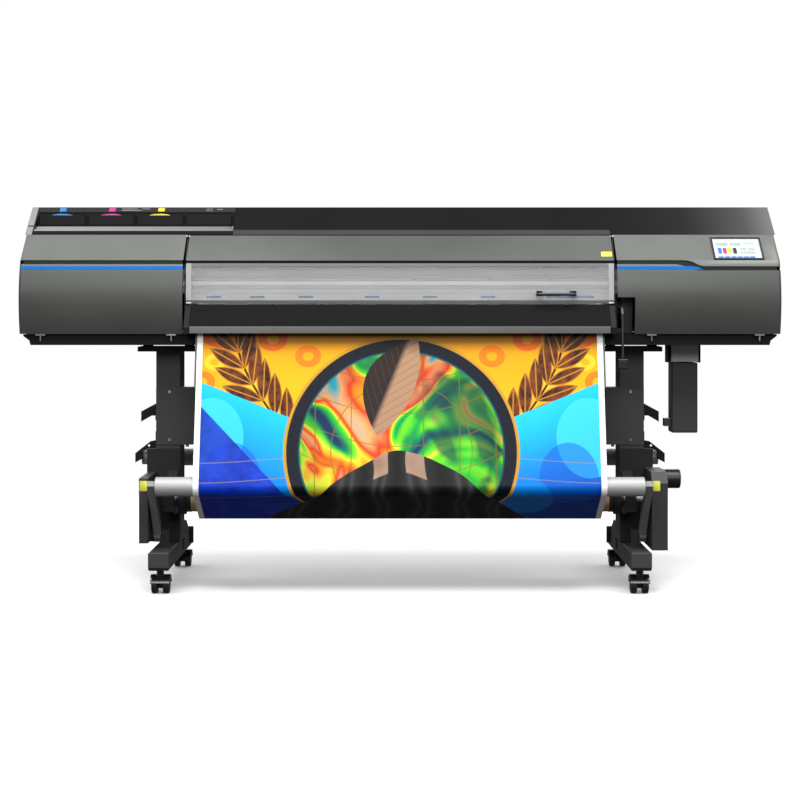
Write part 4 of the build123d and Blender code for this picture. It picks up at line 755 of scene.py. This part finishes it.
world = bpy.data.worlds.new("soft_white")
scene.world = world
world.use_nodes = True
wt = world.node_tree
bg = wt.nodes["Background"]
bg.inputs["Strength"].default_value = 1.0
wc = wt.nodes.new("ShaderNodeTexCoord")
ws = wt.nodes.new("ShaderNodeSeparateXYZ")
wt.links.new(wc.outputs["Generated"], ws.inputs[0])
wr = wt.nodes.new("ShaderNodeMapRange")
wt.links.new(ws.outputs[2], wr.inputs["Value"])
wr.inputs["From Min"].default_value = -1.0
wr.inputs["From Max"].default_value = 1.0
wramp = wt.nodes.new("ShaderNodeValToRGB")
wt.links.new(wr.outputs["Result"], wramp.inputs["Fac"])
we = wramp.color_ramp.elements
WSTOPS = [(0.0, 0.12), (0.30, 0.10), (0.47, 0.10), (0.53, 0.22), (0.66, 0.62), (0.82, 1.0), (1.0, 1.0)]
while len(we) < len(WSTOPS):
    we.new(0.5)
for i, (p, v) in enumerate(WSTOPS):
    we[i].position = p
    we[i].color = (v, v, v, 1)
wa = wt.nodes.new("ShaderNodeMath")
wa.operation = "ABSOLUTE"
wt.links.new(ws.outputs[0], wa.inputs[0])
wm = wt.nodes.new("ShaderNodeMapRange")
wm.interpolation_type = "SMOOTHSTEP"
wt.links.new(wa.outputs[0], wm.inputs["Value"])
wm.inputs["From Min"].default_value = 0.02
wm.inputs["From Max"].default_value = 0.55
wm.inputs["To Min"].default_value = 0.55
wm.inputs["To Max"].default_value = 1.25
wx = wt.nodes.new("ShaderNodeVectorMath")
wx.operation = "SCALE"
wt.links.new(wramp.outputs["Color"], wx.inputs[0])
wt.links.new(wm.outputs["Result"], wx.inputs["Scale"])
# the backdrop itself is plain white
wl = wt.nodes.new("ShaderNodeLightPath")
wk = wt.nodes.new("ShaderNodeMix")
wk.data_type = "RGBA"
wt.links.new(wl.outputs["Is Camera Ray"], wk.inputs[0])
wt.links.new(wx.outputs["Vector"], wk.inputs[6])
wk.inputs[7].default_value = (1, 1, 1, 1)
wt.links.new(wk.outputs[2], bg.inputs["Color"])


def area(name, loc, target, size, size_y, power):
    d = bpy.data.lights.new(name, "AREA")
    d.shape = "RECTANGLE"
    d.size, d.size_y = size, size_y
    d.energy = power
    o = bpy.data.objects.new(name, d)
    o.location = loc
    o.rotation_euler = (Vector(target) - Vector(loc)).to_track_quat("-Z", "Y").to_euler()
    scene.collection.objects.link(o)
    return o


area("top_soft", (0, -2.0, 4.6), (0, -0.2, 0.6), 5.5, 2.6, 330)
area("front_soft", (0, -6.5, 3.4), (0, 0, 0.6), 5.0, 2.2, 190)
area("rear_soft", (0, 5.5, 3.2), (0, 0, 0.7), 4.5, 1.8, 120)
